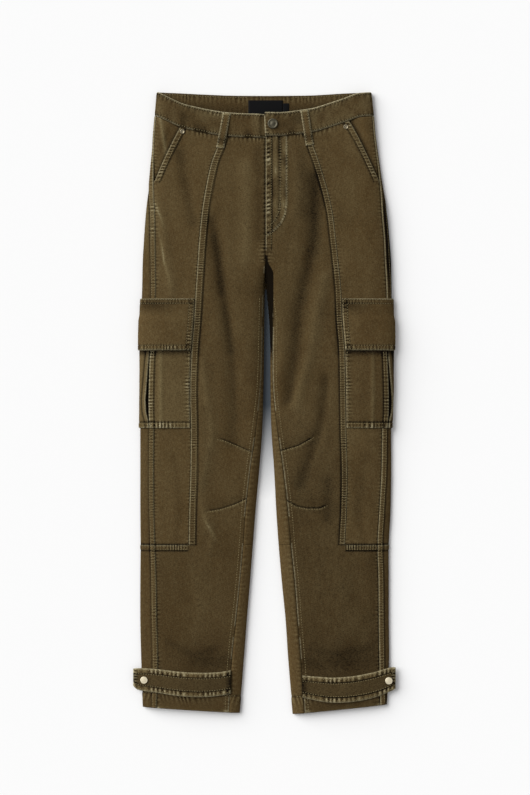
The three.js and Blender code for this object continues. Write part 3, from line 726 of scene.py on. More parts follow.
class Shader:
    """A material's node tree and the one way in which nodes are added to it."""

    def __init__(self, name: str) -> None:
        """Starts an empty material."""
        self.material = bpy.data.materials.new(name)
        self.material.use_nodes = True
        self.tree = self.material.node_tree
        self.tree.nodes.clear()

    def add(self, kind: str, settings: Optional[dict] = None, **links):
        """Adds a node.

        Args:
            kind: the node's type name.
            settings: its properties.
            links: input socket names, with underscores for spaces, to values or output sockets.

        Returns:
            The node.
        """
        node = self.tree.nodes.new(kind)
        for key, value in (settings or {}).items():
            setattr(node, key, value)
        for key, value in links.items():
            socket = node.inputs[int(key[1:])] if key[0] == "i" and key[1:].isdigit() \
                else node.inputs[key.replace("_", " ")]
            if isinstance(value, bpy.types.NodeSocket):
                self.tree.links.new(value, socket)
            else:
                socket.default_value = value
        return node

    def ruck(self, run, speck, rope):
        """Puckers beside a seam: a wave along the seam, from -1 to 1, as strong as the rope."""
        drift = self.add("ShaderNodeMath", {"operation": "MULTIPLY_ADD"}, i0=speck, i1=0.9, i2=run)
        turn = self.add("ShaderNodeMath", {"operation": "MULTIPLY"}, i0=drift.outputs[0],
                        i1=2 * math.pi)
        wave = self.add("ShaderNodeMath", {"operation": "SINE"}, i0=turn.outputs[0])
        return self.add("ShaderNodeMath", {"operation": "MULTIPLY"}, i0=wave.outputs[0],
                        i1=rope).outputs[0]

    def sum(self, first, second):
        """Adds two values, held to 1.3 at most."""
        both = self.add("ShaderNodeMath", {"operation": "ADD"}, i0=first, i1=second)
        return self.add("ShaderNodeMath", {"operation": "MINIMUM"}, i0=both.outputs[0],
                        i1=1.3).outputs[0]

    def stripe(self, distance, full: float, spots):
        """A line about 2 mm wide, full at its middle and broken up by the spots."""
        return self.share(distance, 1.7, 0.6, full, spots, 0.6)

    def share(self, value, low: float, high: float, full: float, spots=None,
              spotty: float = 0.0):
        """Turns a value into a share from 0 to full.

        Args:
            value: the value's socket.
            low: the value that gives 0.
            high: the value that gives full.
            full: the largest share.
            spots: a noise socket that breaks the share up, or None.
            spotty: how strongly it does so.

        Returns:
            The share's socket.
        """
        node = self.add("ShaderNodeMapRange", Value=value, From_Min=low, From_Max=high, To_Min=0.0,
                        To_Max=full)
        if spots is None:
            return node.outputs["Result"]
        broken = self.add("ShaderNodeMapRange", Value=spots, From_Min=0.36, From_Max=0.62,
                          To_Min=1.0 - spotty, To_Max=1.0)
        return self.add("ShaderNodeMath", {"operation": "MULTIPLY"}, i0=node.outputs["Result"],
                        i1=broken.outputs["Result"]).outputs[0]

    def mix(self, share, first, second):
        """Mixes two colours; returns the colour socket."""
        return self.add("ShaderNodeMix", {"data_type": "RGBA"}, i0=share, i6=first,
                        i7=second).outputs[2]


@dataclass(frozen=True)
class WashedTwill:
    """Garment-washed cotton twill: matt and mottled, paler where seams rub and where highlights are
    painted on its ridges, darker where shade is painted in its creases and hollows.
    """

    name: str = "washed_cotton_twill"
    # Deep is the colour of the painted shade; faded and bare are the colours of faded and rubbed cloth,
    # and also of its painted highlights
    deep: str = "#0f0a05"
    body: str = "#4f3e24"
    faded: str = "#766949"
    bare: str = "#bcb392"
    roughness: float = 0.93
    # Real ribs are 0.7 mm apart; drawn at 2.9 mm they still show in a picture of the whole garment
    rib_mm: float = 2.9

    def build(self) -> bpy.types.Material:
        """Makes the material.

        Returns:
            The twill with wear and shade read from the mesh.
        """
        make = Shader(self.name)
        place = make.add("ShaderNodeTexCoord").outputs["Object"]
        wear, shade, rope, run, crest, furrow = (
            make.add("ShaderNodeAttribute", {"attribute_name": key}).outputs["Fac"]
            for key in Relief.MARKS)
        along = make.add("ShaderNodeMapping", Vector=place, Scale=(1.0, 0.4, 1.0)).outputs["Vector"]
        cloud = make.add("ShaderNodeTexNoise", Vector=along, Scale=24.0, Detail=3.0).outputs["Fac"]
        slub = make.add("ShaderNodeTexNoise", Vector=along, Scale=520.0, Detail=3.0,
                        Roughness=0.7).outputs["Fac"]
        speck = make.add("ShaderNodeTexNoise", Vector=place, Scale=420.0, Detail=4.0,
                         Roughness=0.75).outputs["Fac"]
        slant = make.add("ShaderNodeMapping", Vector=place,
                         Rotation=(0.0, 0.0, math.radians(-63))).outputs["Vector"]
        # A wave texture's bands repeat every pi / 10 units at a scale of 1
        ribs = make.add("ShaderNodeTexWave", {"wave_profile": "SIN"}, Vector=slant,
                        Scale=1000 / self.rib_mm * math.pi / 10, Distortion=1.2,
                        Detail=2.0).outputs["Fac"]
        ruck = make.ruck(run, speck, rope)
        # Pucker crests are painted paler and their troughs painted shade
        pale = make.sum(wear, make.share(ruck, 0.0, 0.8, 0.75))
        deep = make.sum(shade, make.share(ruck, 0.0, -0.8, 0.78))
        washed = make.share(cloud, 0.35, 0.7, 0.10)
        fleck = make.share(slub, 0.45, 0.7, 0.3)
        ground = make.mix(make.sum(washed, fleck), srgb(self.body), srgb(self.faded))
        worn_and_highlit = make.mix(make.share(pale, 0.0, 0.6, 1.0, speck, 0.5), ground,
                        srgb(self.faded))
        bared_and_highlit = make.mix(make.share(pale, 0.5, 1.1, 1.0, speck, 0.7), worn_and_highlit,
                         srgb(self.bare))
        rubbed = make.mix(make.stripe(crest, 0.42, speck), bared_and_highlit, srgb(self.bare))
        # Shade and the sharp furrow lines are painted shade, mixed towards the deep colour
        dark = make.sum(make.share(deep, 0.0, 1.15, 1.0),
                        make.stripe(furrow, 0.4, speck))
        weave = make.sum(make.share(ribs, 0.6, 0.0, 0.09),
                         make.share(speck, 0.54, 0.3, 0.38))
        shade_and_weave = make.sum(dark, weave)
        shaded_twill = make.mix(shade_and_weave, rubbed, srgb(self.deep))
        nap = make.add("ShaderNodeMath", {"operation": "MULTIPLY_ADD"}, i0=ribs, i1=0.5, i2=speck)
        height = make.add("ShaderNodeMath", {"operation": "ADD"}, i0=nap.outputs[0], i1=ruck)
        bump = make.add("ShaderNodeBump", Strength=0.5, Distance=0.0005, Height=height.outputs[0])
        cloth = make.add("ShaderNodeBsdfPrincipled", Base_Color=shaded_twill, Roughness=self.roughness,
                         Normal=bump.outputs["Normal"], Sheen_Weight=0.03, Sheen_Roughness=0.5,
                         Sheen_Tint=srgb("#a08f66"), Specular_IOR_Level=0.04)
        make.add("ShaderNodeOutputMaterial", Surface=cloth.outputs["BSDF"])
        return make.material


@dataclass(frozen=True)
class CottonThread:
    """Core-spun cotton thread, tonal and dull, with its twist as a fine bump."""

    name: str = "tonal_cotton_thread"
    faded: str = "#94865f"

    def build(self) -> bpy.types.Material:
        """Makes the material."""
        make = Shader(self.name)
        place = make.add("ShaderNodeTexCoord").outputs["Object"]
        twist = make.add("ShaderNodeTexNoise", Vector=place, Scale=900.0).outputs["Fac"]
        fade = make.add("ShaderNodeTexNoise", Vector=place, Scale=120.0).outputs["Fac"]
        tone = make.mix(fade, srgb("#5a4c2c"), srgb(self.faded))
        bump = make.add("ShaderNodeBump", Strength=0.4, Distance=0.0002, Height=twist)
        body = make.add("ShaderNodeBsdfPrincipled", Base_Color=tone, Roughness=0.75,
                        Normal=bump.outputs["Normal"], Specular_IOR_Level=0.3)
        make.add("ShaderNodeOutputMaterial", Surface=body.outputs["BSDF"])
        return make.material


@dataclass(frozen=True)
class WovenDamask:
    """Black polyester damask: fine crosswise ribs and a faint silky shine."""

    name: str = "black_woven_damask"
    rib_mm: float = 1.2

    def build(self) -> bpy.types.Material:
        """Makes the material."""
        make = Shader(self.name)
        place = make.add("ShaderNodeTexCoord").outputs["Object"]
        ribs = make.add("ShaderNodeTexWave", {"bands_direction": "Y"}, Vector=place,
                        Scale=1000 / self.rib_mm * math.pi / 10, Distortion=0.4).outputs["Fac"]
        tone = make.mix(ribs, srgb("#030304"), srgb("#0a0a0b"))
        bump = make.add("ShaderNodeBump", Strength=0.3, Distance=0.0002, Height=ribs)
        body = make.add("ShaderNodeBsdfPrincipled", Base_Color=tone, Roughness=0.6,
                        Normal=bump.outputs["Normal"], Specular_IOR_Level=0.1)
        make.add("ShaderNodeOutputMaterial", Surface=body.outputs["BSDF"])
        return make.material


@dataclass(frozen=True)
class CastMetal:
    """Plated zinc, cast and tumbled: bright where rubbed, dull in its hollows."""

    name: str
    bright: str
    dull: str
    roughness: float

    def build(self) -> bpy.types.Material:
        """Makes the material."""
        make = Shader(self.name)
        place = make.add("ShaderNodeTexCoord").outputs["Object"]
        tumble = make.add("ShaderNodeTexNoise", Vector=place, Scale=500.0, Detail=5.0).outputs["Fac"]
        tone = make.mix(tumble, srgb(self.dull), srgb(self.bright))
        rough = make.add("ShaderNodeMapRange", Value=tumble, To_Min=self.roughness - 0.1,
                         To_Max=self.roughness + 0.15).outputs["Result"]
        bump = make.add("ShaderNodeBump", Strength=0.2, Distance=0.0002, Height=tumble)
        body = make.add("ShaderNodeBsdfPrincipled", Base_Color=tone, Metallic=1.0, Roughness=rough,
                        Normal=bump.outputs["Normal"])
        make.add("ShaderNodeOutputMaterial", Surface=body.outputs["BSDF"])
        return make.material


@dataclass(frozen=True)
class StudioPaper:
    """White backdrop paper, matt, greyed between the legs, where its shadow is deeper than a
    single soft sun gives."""

    name: str = "white_backdrop_paper"
    white: str = "#f6f6f6"
    grey: str = "#50575e"
    gap_centre_m: tuple[float, float] = (0.004, 0.15)
    gap_reach_m: tuple[float, float] = (0.045, 0.31)

    def build(self) -> bpy.types.Material:
        """Makes the material."""
        make = Shader(self.name)
        place = make.add("ShaderNodeTexCoord").outputs["Object"]
        beside = make.add("ShaderNodeVectorMath", {"operation": "SUBTRACT"}, i0=place,
                          i1=(*self.gap_centre_m, 0.0))
        part = make.add("ShaderNodeVectorMath", {"operation": "DIVIDE"}, i0=beside.outputs[0],
                        i1=(*self.gap_reach_m, 1.0))
        away = make.add("ShaderNodeVectorMath", {"operation": "LENGTH"}, i0=part.outputs[0])
        deep = make.share(away.outputs["Value"], 1.0, 0.5, 1.0)
        tone = make.mix(deep, srgb(self.white), srgb(self.grey))
        body = make.add("ShaderNodeBsdfPrincipled", Base_Color=tone, Roughness=0.95,
                        Specular_IOR_Level=0.1)
        make.add("ShaderNodeOutputMaterial", Surface=body.outputs["BSDF"])
        return make.material


def mesh_object(name: str, points: Array, faces: Array, finish: bpy.types.Material,
                attributes: Optional[dict[str, Array]] = None) -> bpy.types.Object:
    """Makes a smooth-shaded object from points in mm.

    Args:
        name: the object's name.
        points: one row a vertex.
        faces: one row a face, all with as many corners.
        finish: the material.
        attributes: a value a vertex under each name.

    Returns:
        The linked object.
    """
    mesh = bpy.data.meshes.new(name)
    count, corners = faces.shape
    mesh.vertices.add(len(points))
    mesh.vertices.foreach_set("co", (points * MM).astype(np.float32).ravel())
    mesh.loops.add(count * corners)
    mesh.loops.foreach_set("vertex_index", faces.astype(np.int32).ravel())
    mesh.polygons.add(count)
    mesh.polygons.foreach_set("loop_start", np.arange(0, count * corners, corners, dtype=np.int32))
    mesh.polygons.foreach_set("use_smooth", np.ones(count, bool))
    mesh.update(calc_edges=True)
    mesh.validate()
    for key, values in (attributes or {}).items():
        layer = mesh.attributes.new(key, "FLOAT", "POINT")
        layer.data.foreach_set("value", values.astype(np.float32))
    mesh.materials.append(finish)
    item = bpy.data.objects.new(name, mesh)
    bpy.context.scene.collection.objects.link(item)
    return item


def signed_volume(points: Array, faces: Array) -> float:
    """Volume that quads or triangles enclose; negative where they face inwards."""
    total = 0.0
    for k in range(1, faces.shape[1] - 1):
        a, b, c = points[faces[:, 0]], points[faces[:, k]], points[faces[:, k + 1]]
        total += float(np.einsum("ij,ij->i", a, np.cross(b, c)).sum())
    return total / 6


@dataclass
class Wall:
    """A closed wall of cloth over a grid: its face, its inside, and which squares it has.

    It stands for the node that it names.
    """

    node: str
    face: Array
    inside: Array
    relief: Relief
    keep: Optional[Array] = None
    lining: Optional[Relief] = None

    def __post_init__(self) -> None:
        """Gives the wall all its squares and a plain inside where none are stated."""
        if self.keep is None:
            self.keep = np.ones(np.array(self.face.shape[:2]) - 1, bool)
        if self.lining is None:
            self.lining = Relief.none(self.face.shape[:2])

    def faces(self) -> Array:
        """Quads over face, inside and rim, on a numbering of face then inside."""
        rows, columns = self.face.shape[:2]
        keep = self.keep
        number = np.arange(rows * columns).reshape(rows, columns)
        below = number + rows * columns
        r, c = np.nonzero(keep)
        parts = [np.stack([number[r, c], number[r, c + 1], number[r + 1, c + 1], number[r + 1, c]], 1),
                 np.stack([below[r, c], below[r + 1, c], below[r + 1, c + 1], below[r, c + 1]], 1)]
        wide = np.pad(keep, 1)
        for dr, dc, (a, b) in ((-1, 0, ((0, 0), (0, 1))), (1, 0, ((1, 1), (1, 0))),
                               (0, -1, ((1, 0), (0, 0))), (0, 1, ((0, 1), (1, 1)))):
            open_side = keep & ~wide[1 + dr:wide.shape[0] - 1 + dr, 1 + dc:wide.shape[1] - 1 + dc]
            r, c = np.nonzero(open_side)
            first = (r + a[0], c + a[1])
            last = (r + b[0], c + b[1])
            parts.append(np.stack([number[first], below[first], below[last], number[last]], 1))
        return np.concatenate(parts)

    def build(self, finish: bpy.types.Material) -> bpy.types.Object:
        """Writes the wall as a mesh object."""
        points = np.concatenate([self.face.reshape(-1, 3), self.inside.reshape(-1, 3)])
        faces = self.faces()
        used, faces = np.unique(faces, return_inverse=True)
        faces = faces.reshape(-1, 4)
        points = points[used]
        if signed_volume(points, faces) < 0:
            faces = faces[:, ::-1]
        attributes = {key: np.concatenate([getattr(self.relief, key).ravel(),
                                           getattr(self.lining, key).ravel()])[used]
                      for key in Relief.MARKS}
        return mesh_object(f"{self.node}_cloth", points, faces, finish, attributes)

    def cut(self) -> tuple[float, float, float]:
        """Width, length and area in metres of the cloth that the wall is cut from."""
        keep = self.keep
        middle = (self.face + self.inside) / 2 * MM
        across = np.linalg.norm(np.diff(middle, axis=1), axis=-1)
        along = np.linalg.norm(np.diff(middle, axis=0), axis=-1)
        width = (across[:-1] * keep).sum(1).max()
        length = (along[:, :-1] * keep).sum(0).max()
        one = middle[1:, 1:] - middle[:-1, :-1]
        two = middle[1:, :-1] - middle[:-1, 1:]
        area = (np.linalg.norm(np.cross(one, two), axis=-1) / 2 * keep).sum()
        return float(width), float(length), float(area)


def soften(distance, thick: float, radius: float = 1.6) -> Array:
    """How far a folded edge's face sinks towards its middle, by the distance from the edge."""
    share = clamp(np.asarray(distance, float) / radius)
    return 0.5 * thick * (1 - np.sqrt(np.maximum(1 - (1 - share) ** 2, 0)))


def spread(width: float) -> Array:
    """Shares from 0 to 1 over a width, closer together near both ends."""
    border = 13.0
    near = np.linspace(0, border, round(border / FINE) + 1)
    middle = np.linspace(border, width - border, round((width - 2 * border) / COARSE) + 1)
    return np.concatenate([near, middle[1:-1], width - near[::-1]]) / width


def between(first: float, last: float) -> Array:
    """Rows from one to another on the garment's common rhythm, both ends included."""
    inner = np.arange(BAND, HEM_END, ROW_STEP)
    inner = inner[(inner > first + 0.4 * ROW_STEP) & (inner < last - 0.4 * ROW_STEP)]
    return np.concatenate([[first], inner, [last]])


@dataclass
class Stitching:
    """Collects stitches and joins them into one mesh of small spindles."""

    name: str
    length: float = 2.7
    gap: float = 1.4
    width: float = 0.95
    height: float = 0.5
    middles: list = field(default_factory=list)
    runs: list = field(default_factory=list)
    ups: list = field(default_factory=list)

    def line(self, points: Array, normals: Array, pitch: Optional[float] = None,
             length: Optional[float] = None) -> None:
        """Sews along points on a face.

        Args:
            points: the line's points in mm.
            normals: directions out of the face.
            pitch: distance from stitch to stitch.
            length: a stitch's length.
        """
        length = length or self.length
        pitch = pitch or self.length + self.gap
        step = np.linalg.norm(np.diff(points, axis=0), axis=1)
        along = np.concatenate([[0], np.cumsum(step)])
        count = int(along[-1] // pitch)
        if count < 1:
            return
        at = (np.arange(count) + 0.5) * along[-1] / count
        read = lambda values, where: np.stack([np.interp(where, along, values[:, k])
                                               for k in range(3)], 1)
        start = read(points, at - length / 2)
        end = read(points, at + length / 2)
        up = read(normals, at)
        self.middles.append((start + end) / 2)
        self.runs.append((end - start) / 2)
        self.ups.append(up / np.linalg.norm(up, axis=1, keepdims=True))

    def build(self, finish: bpy.types.Material) -> bpy.types.Object:
        """Writes all stitches as one object."""
        middle = np.concatenate(self.middles)
        run = np.concatenate(self.runs)
        up = np.concatenate(self.ups)
        wide = np.cross(run, up)
        wide *= self.width / 2 / np.linalg.norm(wide, axis=1, keepdims=True)
        high = up * self.height / 2
        ring = [(0.55, 1, 0), (0.55, 0, 1), (0.55, -1, 0), (0.55, 0, -1)]
        corners = [middle - run] + [middle - run * s + wide * w + high * h for s, w, h in ring]
        corners += [middle + run * s + wide * w + high * h for s, w, h in ring] + [middle + run]
        points = np.stack(corners, 1)
        faces = []
        for k in range(4):
            n = (k + 1) % 4
            faces += [[0, 1 + n, 1 + k], [9, 5 + k, 5 + n], [1 + k, 1 + n, 5 + n],
                      [1 + k, 5 + n, 5 + k]]
        faces = (np.arange(len(middle)) * 10)[:, None, None] + np.array(faces)[None]
        return mesh_object(self.name, points.reshape(-1, 3), faces.reshape(-1, 3), finish)


@dataclass
class Workroom:
    """The finishes and the threads that the pieces share."""

    twill: bpy.types.Material
    thread: bpy.types.Material
    label: bpy.types.Material
    pewter: bpy.types.Material
    brass: bpy.types.Material
    tin: bpy.types.Material
    stitches: dict[str, Stitching] = field(default_factory=dict)
    count: int = 0

    @classmethod
    def open(cls) -> "Workroom":
        """Makes the finishes."""
        pewter = CastMetal("antique_pewter_zinc", "#75705f", "#312e26", 0.55)
        brass = CastMetal("pale_matt_brass", "#f2e9d2", "#ddd2b4", 0.6)
        tin = CastMetal("tumbled_tin_plate", "#a59b82", "#655c49", 0.46)
        return cls(WashedTwill().build(), CottonThread().build(), WovenDamask().build(),
                   pewter.build(), brass.build(), tin.build())

    def thread_of(self, name: str) -> Stitching:
        """The stitches of a region of the garment."""
        return self.stitches.setdefault(name, Stitching(f"stitches_{name}"))

    def seat(self, item: bpy.types.Object, slot: str, node: Optional[str] = None) -> bpy.types.Object:
        """Fastens a piece to the garment and lets it stand for its solid."""
        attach(item, "root")
        if node:
            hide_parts(node)
        self.count += len(item.data.polygons)
        heights = np.empty(len(item.data.vertices) * 3, np.float32)
        item.data.vertices.foreach_get("co", heights)
        LOG.info("%s: %d faces, %.1f to %.1f mm high", item.name, len(item.data.polygons),
                 heights[2::3].min() / MM, heights[2::3].max() / MM)
        return item

    def sew(self, wall: Wall, rests_on: Sequence[str] = (),
            finish: Optional[bpy.types.Material] = None, slot: str = "twill") -> None:
        """Writes a wall of cloth, twill if no other is given, seats it and works out its cut."""
        item = self.seat(wall.build(finish or self.twill), slot, wall.node)
        width, length, area = wall.cut()
        width = max(width, LEAST_SIDE_M)


@dataclass
class FrontFace:
    """The sewing that shows on a leg's front side."""

    leg: Leg

    BAND_WIDTH = {Side.RIGHT: 11.0, Side.LEFT: 9.5}
    CREASES = {Side.RIGHT: RIGHT_CREASES, Side.LEFT: LEFT_CREASES}
    LIGHT_AND_SHADE = {Side.RIGHT: RIGHT_LIGHT_AND_SHADE, Side.LEFT: LEFT_LIGHT_AND_SHADE}
    # The fly's stitched line, and how far inside it its two rows of stitches run
    FLY_INSETS = (0.8, 12.5)
    FLY = ((36.5, 68), (36.5, 185), (34, 203), (26, 219), (14, 231), (4, 238))
    # Fold ridges of the right leg, painted paler as highlight and rubbing: how pale, and the points that
    # they run through
    RIDGES = (
        (0.5, ((106, 686), (100, 704), (92, 718), (84, 732), (80, 742))),
        (0.55, ((186, 173), (178, 193), (170, 213), (167, 226))),
        (0.65, ((179, 219), (171, 249), (167, 279), (163, 292), (154, 322))),
    )
    DARTS = {
        Side.RIGHT: (((24, 591), (68, 572), (80, 569)), ((32, 669), (52, 678), (74, 685), (97, 689))),
        Side.LEFT: (((27, 589), (54, 581), (80, 566)),
                    ((35, 672), (52, 681), (69, 684), (89, 684), (103, 678))),
    }

    def relief(self, across: Array, row: Array) -> Relief:
        """Heights, wear and shade of the front side.

        Args:
            across: distances from the fly line.
            row: rows.

        Returns:
            The relief at those places.
        """
        leg = self.leg
        face = Relief.none(across.shape)
        down = row + leg.drop(across, row, "front")
        x = leg.sign * across
        self.cloth(face, across, row, down)
        self.seams(face, across, row, down, x)
        self.fly(face, across, row, down)
        self.darts(face, across, down)
        self.turned_in(face, across, row)
        panel = leg.panel(row)
        covered = smooth(FLAP_TOP + 3, FLAP_TOP + 12, row) * smooth(panel + 4, panel + 12, across) \
            * (1 - smooth(POCKET_END - 10, POCKET_END - 2, row))
        face.height *= 1 - 0.9 * covered
        return face

    def cloth(self, face: Relief, across: Array, row: Array, down: Array) -> None:
        """Adds the creases, with painted shade in their troughs and paler ridges, and the painted light
        and shade over the cloth.
        """
        leg = self.leg
        calm = smooth(0, 14, leg.edge("outer", row) - across) \
            * lerp(1, smooth(0, 10, across - leg.edge("inner", row)), row > FRONT_CROTCH)
        face.wrinkle(leg.sign * across, down, 11, 0.3)
        crease = fold_height(self.CREASES[leg.side], across, down)
        fold = fold_height(leg.folds, across, down)
        face.height += (0.5 * crease - 0.3 * fold) * calm
        # Crease and fold ridges painted paler as highlight and rubbing, their troughs painted shade
        face.wear += 0.1 * clamp(crease) * calm + 0.05 * clamp(fold / 2)
        face.shade += 0.2 * clamp(-crease, 0, 2) * calm + 0.16 * clamp(-fold / 3, 0, 1.3)
        # Painted shade and painted highlight laid over the cloth, the pale stretches partly rubbing
        tone = fold_height(self.LIGHT_AND_SHADE[leg.side], across, down)
        face.wear += 0.12 * clamp(tone)
        face.shade += 0.45 * clamp(-tone)
        centre = 1 - 0.8 * (across > leg.panel(row)) * (row < LEG_SEAM)
        if leg.side is Side.RIGHT:
            face.shade += (0.08 + 0.13 * smooth(560, 800, down)) * centre
            for full, path in self.RIDGES:
                along, off, size = track(path, across, down)
                face.wear += full * bell(off, 2.0) * bell(along - size / 2, size / 3)
        else:
            face.shade += (0.13 + 0.19 * smooth(450, 700, down)) * centre

    def seams(self, face: Relief, across: Array, row: Array, down: Array, x: Array) -> None:
        """Adds the felled and topstitched seams, the pocket mouth and the hem."""
        leg = self.leg
        panel = leg.panel(row)
        upper = row < LEG_SEAM + 0.5
        centre = upper & (across < panel)
        flank = upper & (across >= panel)
        width = self.BAND_WIDTH[leg.side]
        face.band(panel - across, width, FELL_RISE, centre)
        face.pucker(down, bell(panel - across - width / 2, width * 0.5) * centre, 4.1, 0.3, 1)
        face.pucker(down, bell(across - panel, 4.0) * flank, 5.4, 0.2, 1)
        side = leg.side_edge(row)
        face.pucker(down, bell(side - across, 4.5) * (row >= MOUTH_END), 5.8, 0.2, 2)
        face.line("furrow", side - across - 0.4, row >= MOUTH_END)
        at_mouth = (row < MOUTH_END + 2) & flank
        face.band(side - across, FELL, 0.6, at_mouth)
        face.pucker(down, bell(side - across - 4.5, 4.2) * at_mouth, 5.2, 0.42, 3)
        inseam = np.where(row > FRONT_CROTCH, across - leg.edge("inseam", row), 99.0)
        legs = smooth(FRONT_CROTCH, FRONT_CROTCH + 12, row)
        face.line("crest", inseam - 0.7, legs * (np.sin(row / 31.0) + 0.6 * np.sin(row / 13.0) > -0.7))
        if leg.side is Side.LEFT:
            # Painted shade on the left leg's inner edge below the crotch
            face.shade += 1.3 * bell(inseam, 2.8) * bell(row - 335, 42) * (row > FRONT_CROTCH)
        face.pucker(down, 0.5 * bell(inseam - 2, 4) * legs, 6.2, 0.14, 4)
        below = row - LEG_SEAM
        beside = smooth(-2, 2, across - panel)
        face.band(below, FELL, FELL_RISE, beside)
        face.pucker(x, bell(below - 4.2, 4.5) * beside, 4.6, 0.36, 5)
        hem = HEM_END - row
        face.groove(hem - HEM, 0.5, 1.8)
        patch = smooth(-0.1, 0.6, Cloud(81, 34).at(x, 0 * x))
        face.pucker(x + 0.35 * hem, bell(hem - HEM + 5, 7) * (0.25 + 0.6 * patch), 7.4, 0.3, 6)
        face.wear += 0.25 * bell(hem, 1.6)
        corner = bell(side - across, 6) + bell(inseam - 4, 6)
        face.wear += 0.6 * bell(hem - 1.5, 3.0) * corner
        face.line("crest", hem - 0.8, corner)
        face.pucker(down, corner * smooth(24, 14, hem), 6.0, 0.35, 13)
        face.pucker(x, bell(row - BAND - 2, 6), 6.6, 0.26, 7)
        # Painted shadow just below the waistband's edge
        face.shade += 0.4 * bell(row - BAND, 2.2)

    def fly(self, face: Relief, across: Array, row: Array, down: Array) -> None:
        """Adds the fly: a raised front edge with its curved double stitching."""
        front = row < FRONT_CROTCH
        if self.leg.side is Side.LEFT:
            along, off, _ = track(self.FLY, across, down)
            inside = np.where(down < 239, -off, -20.0)
            on = smooth(-1.5, 1.5, inside) * front
            face.height += 0.5 * on
            for inset in self.FLY_INSETS:
                near = bell(inside - inset, 2.6) * on * smooth(75, 90, down)
                face.pucker(along + 40 * inset, near, 5.2, 0.3, 8)
                face.groove(inside - inset, 0.25, 1.2, on, sharp=False)
            # Two soft ridges painted paler as highlight and rubbing, and painted shade in the troughs
            # beside them
            face.height += 0.35 * (bell(across - 17, 3) + bell(across - 29, 2.5)) * on
            face.wear += (0.08 + 0.2 * (bell(across - 17, 2.2) + 0.8 * bell(across - 29, 2))) * on
            face.shade += 0.35 * (bell(across - 22, 2.2) + bell(across - 11, 1.8)) * on
            face.line("crest", inside - 2.4, on)
            face.wrinkle(2.4 * across, 1.2 * down, 71, 0.3 * on)
            blotch = Cloud(73, 9, 2.0).at(across, down)
            face.wear += 0.5 * clamp(blotch) * on
            face.shade += 0.4 * clamp(-blotch) * on
            edge = front * (down < 262)
            face.pucker(down + 0.25 * across, bell(across - 4.4, 3.4) * edge, 8.2, 0.42, 9)
            face.groove(across - 10, 0.5, 1.3, edge)
            face.line("crest", across - 0.7, edge)
        else:
            near = bell(across - 1, 4) * front
            face.pucker(down, near, 8.2, 0.18, 9)
            # Painted shade along the fly line, under the left front's lap
            face.shade += 0.7 * bell(across, 3.2) * front
        lower = (down > 240) * (row < FRONT_CROTCH + 4)
        face.pucker(down, bell(across - 4, 6) * lower, 5.6, 0.3, 10)

    def turned_in(self, face: Relief, across: Array, row: Array) -> None:
        """Paints shade on the left leg's edge where it turns in just below the crotch, into a deep
        hollow.
        """
        if self.leg.side is Side.LEFT:
            reach = 2.5 + 9 * smooth(278, 300, row)
            dark = smooth(262, 290, row) * smooth(368, 340, row) \
                * smooth(reach + 1.8, reach - 0.6, across)
            face.shade += 2.6 * dark
            face.wear *= 1 - dark
            face.rope *= 1 - dark

    def darts(self, face: Relief, across: Array, down: Array) -> None:
        """Adds the two knee darts: a stitched line that pulls the cloth in."""
        for path in self.DARTS[self.leg.side]:
            along, below, size = track(path, across, down)
            on = smooth(-6, 0, along) * (1 - smooth(size - 10, size + 1, along))
            face.groove(below, 0.8, 1.5, on)
            # The ridge beside the dart, painted paler as highlight and rubbing
            face.height += 0.45 * bell(below + 4, 3) * on
            face.wear += 0.4 * bell(below + 2.4, 1.3) * on
            face.pucker(along, 0.6 * bell(below + 2, 5) * on, 6.4, 0.12, 12)


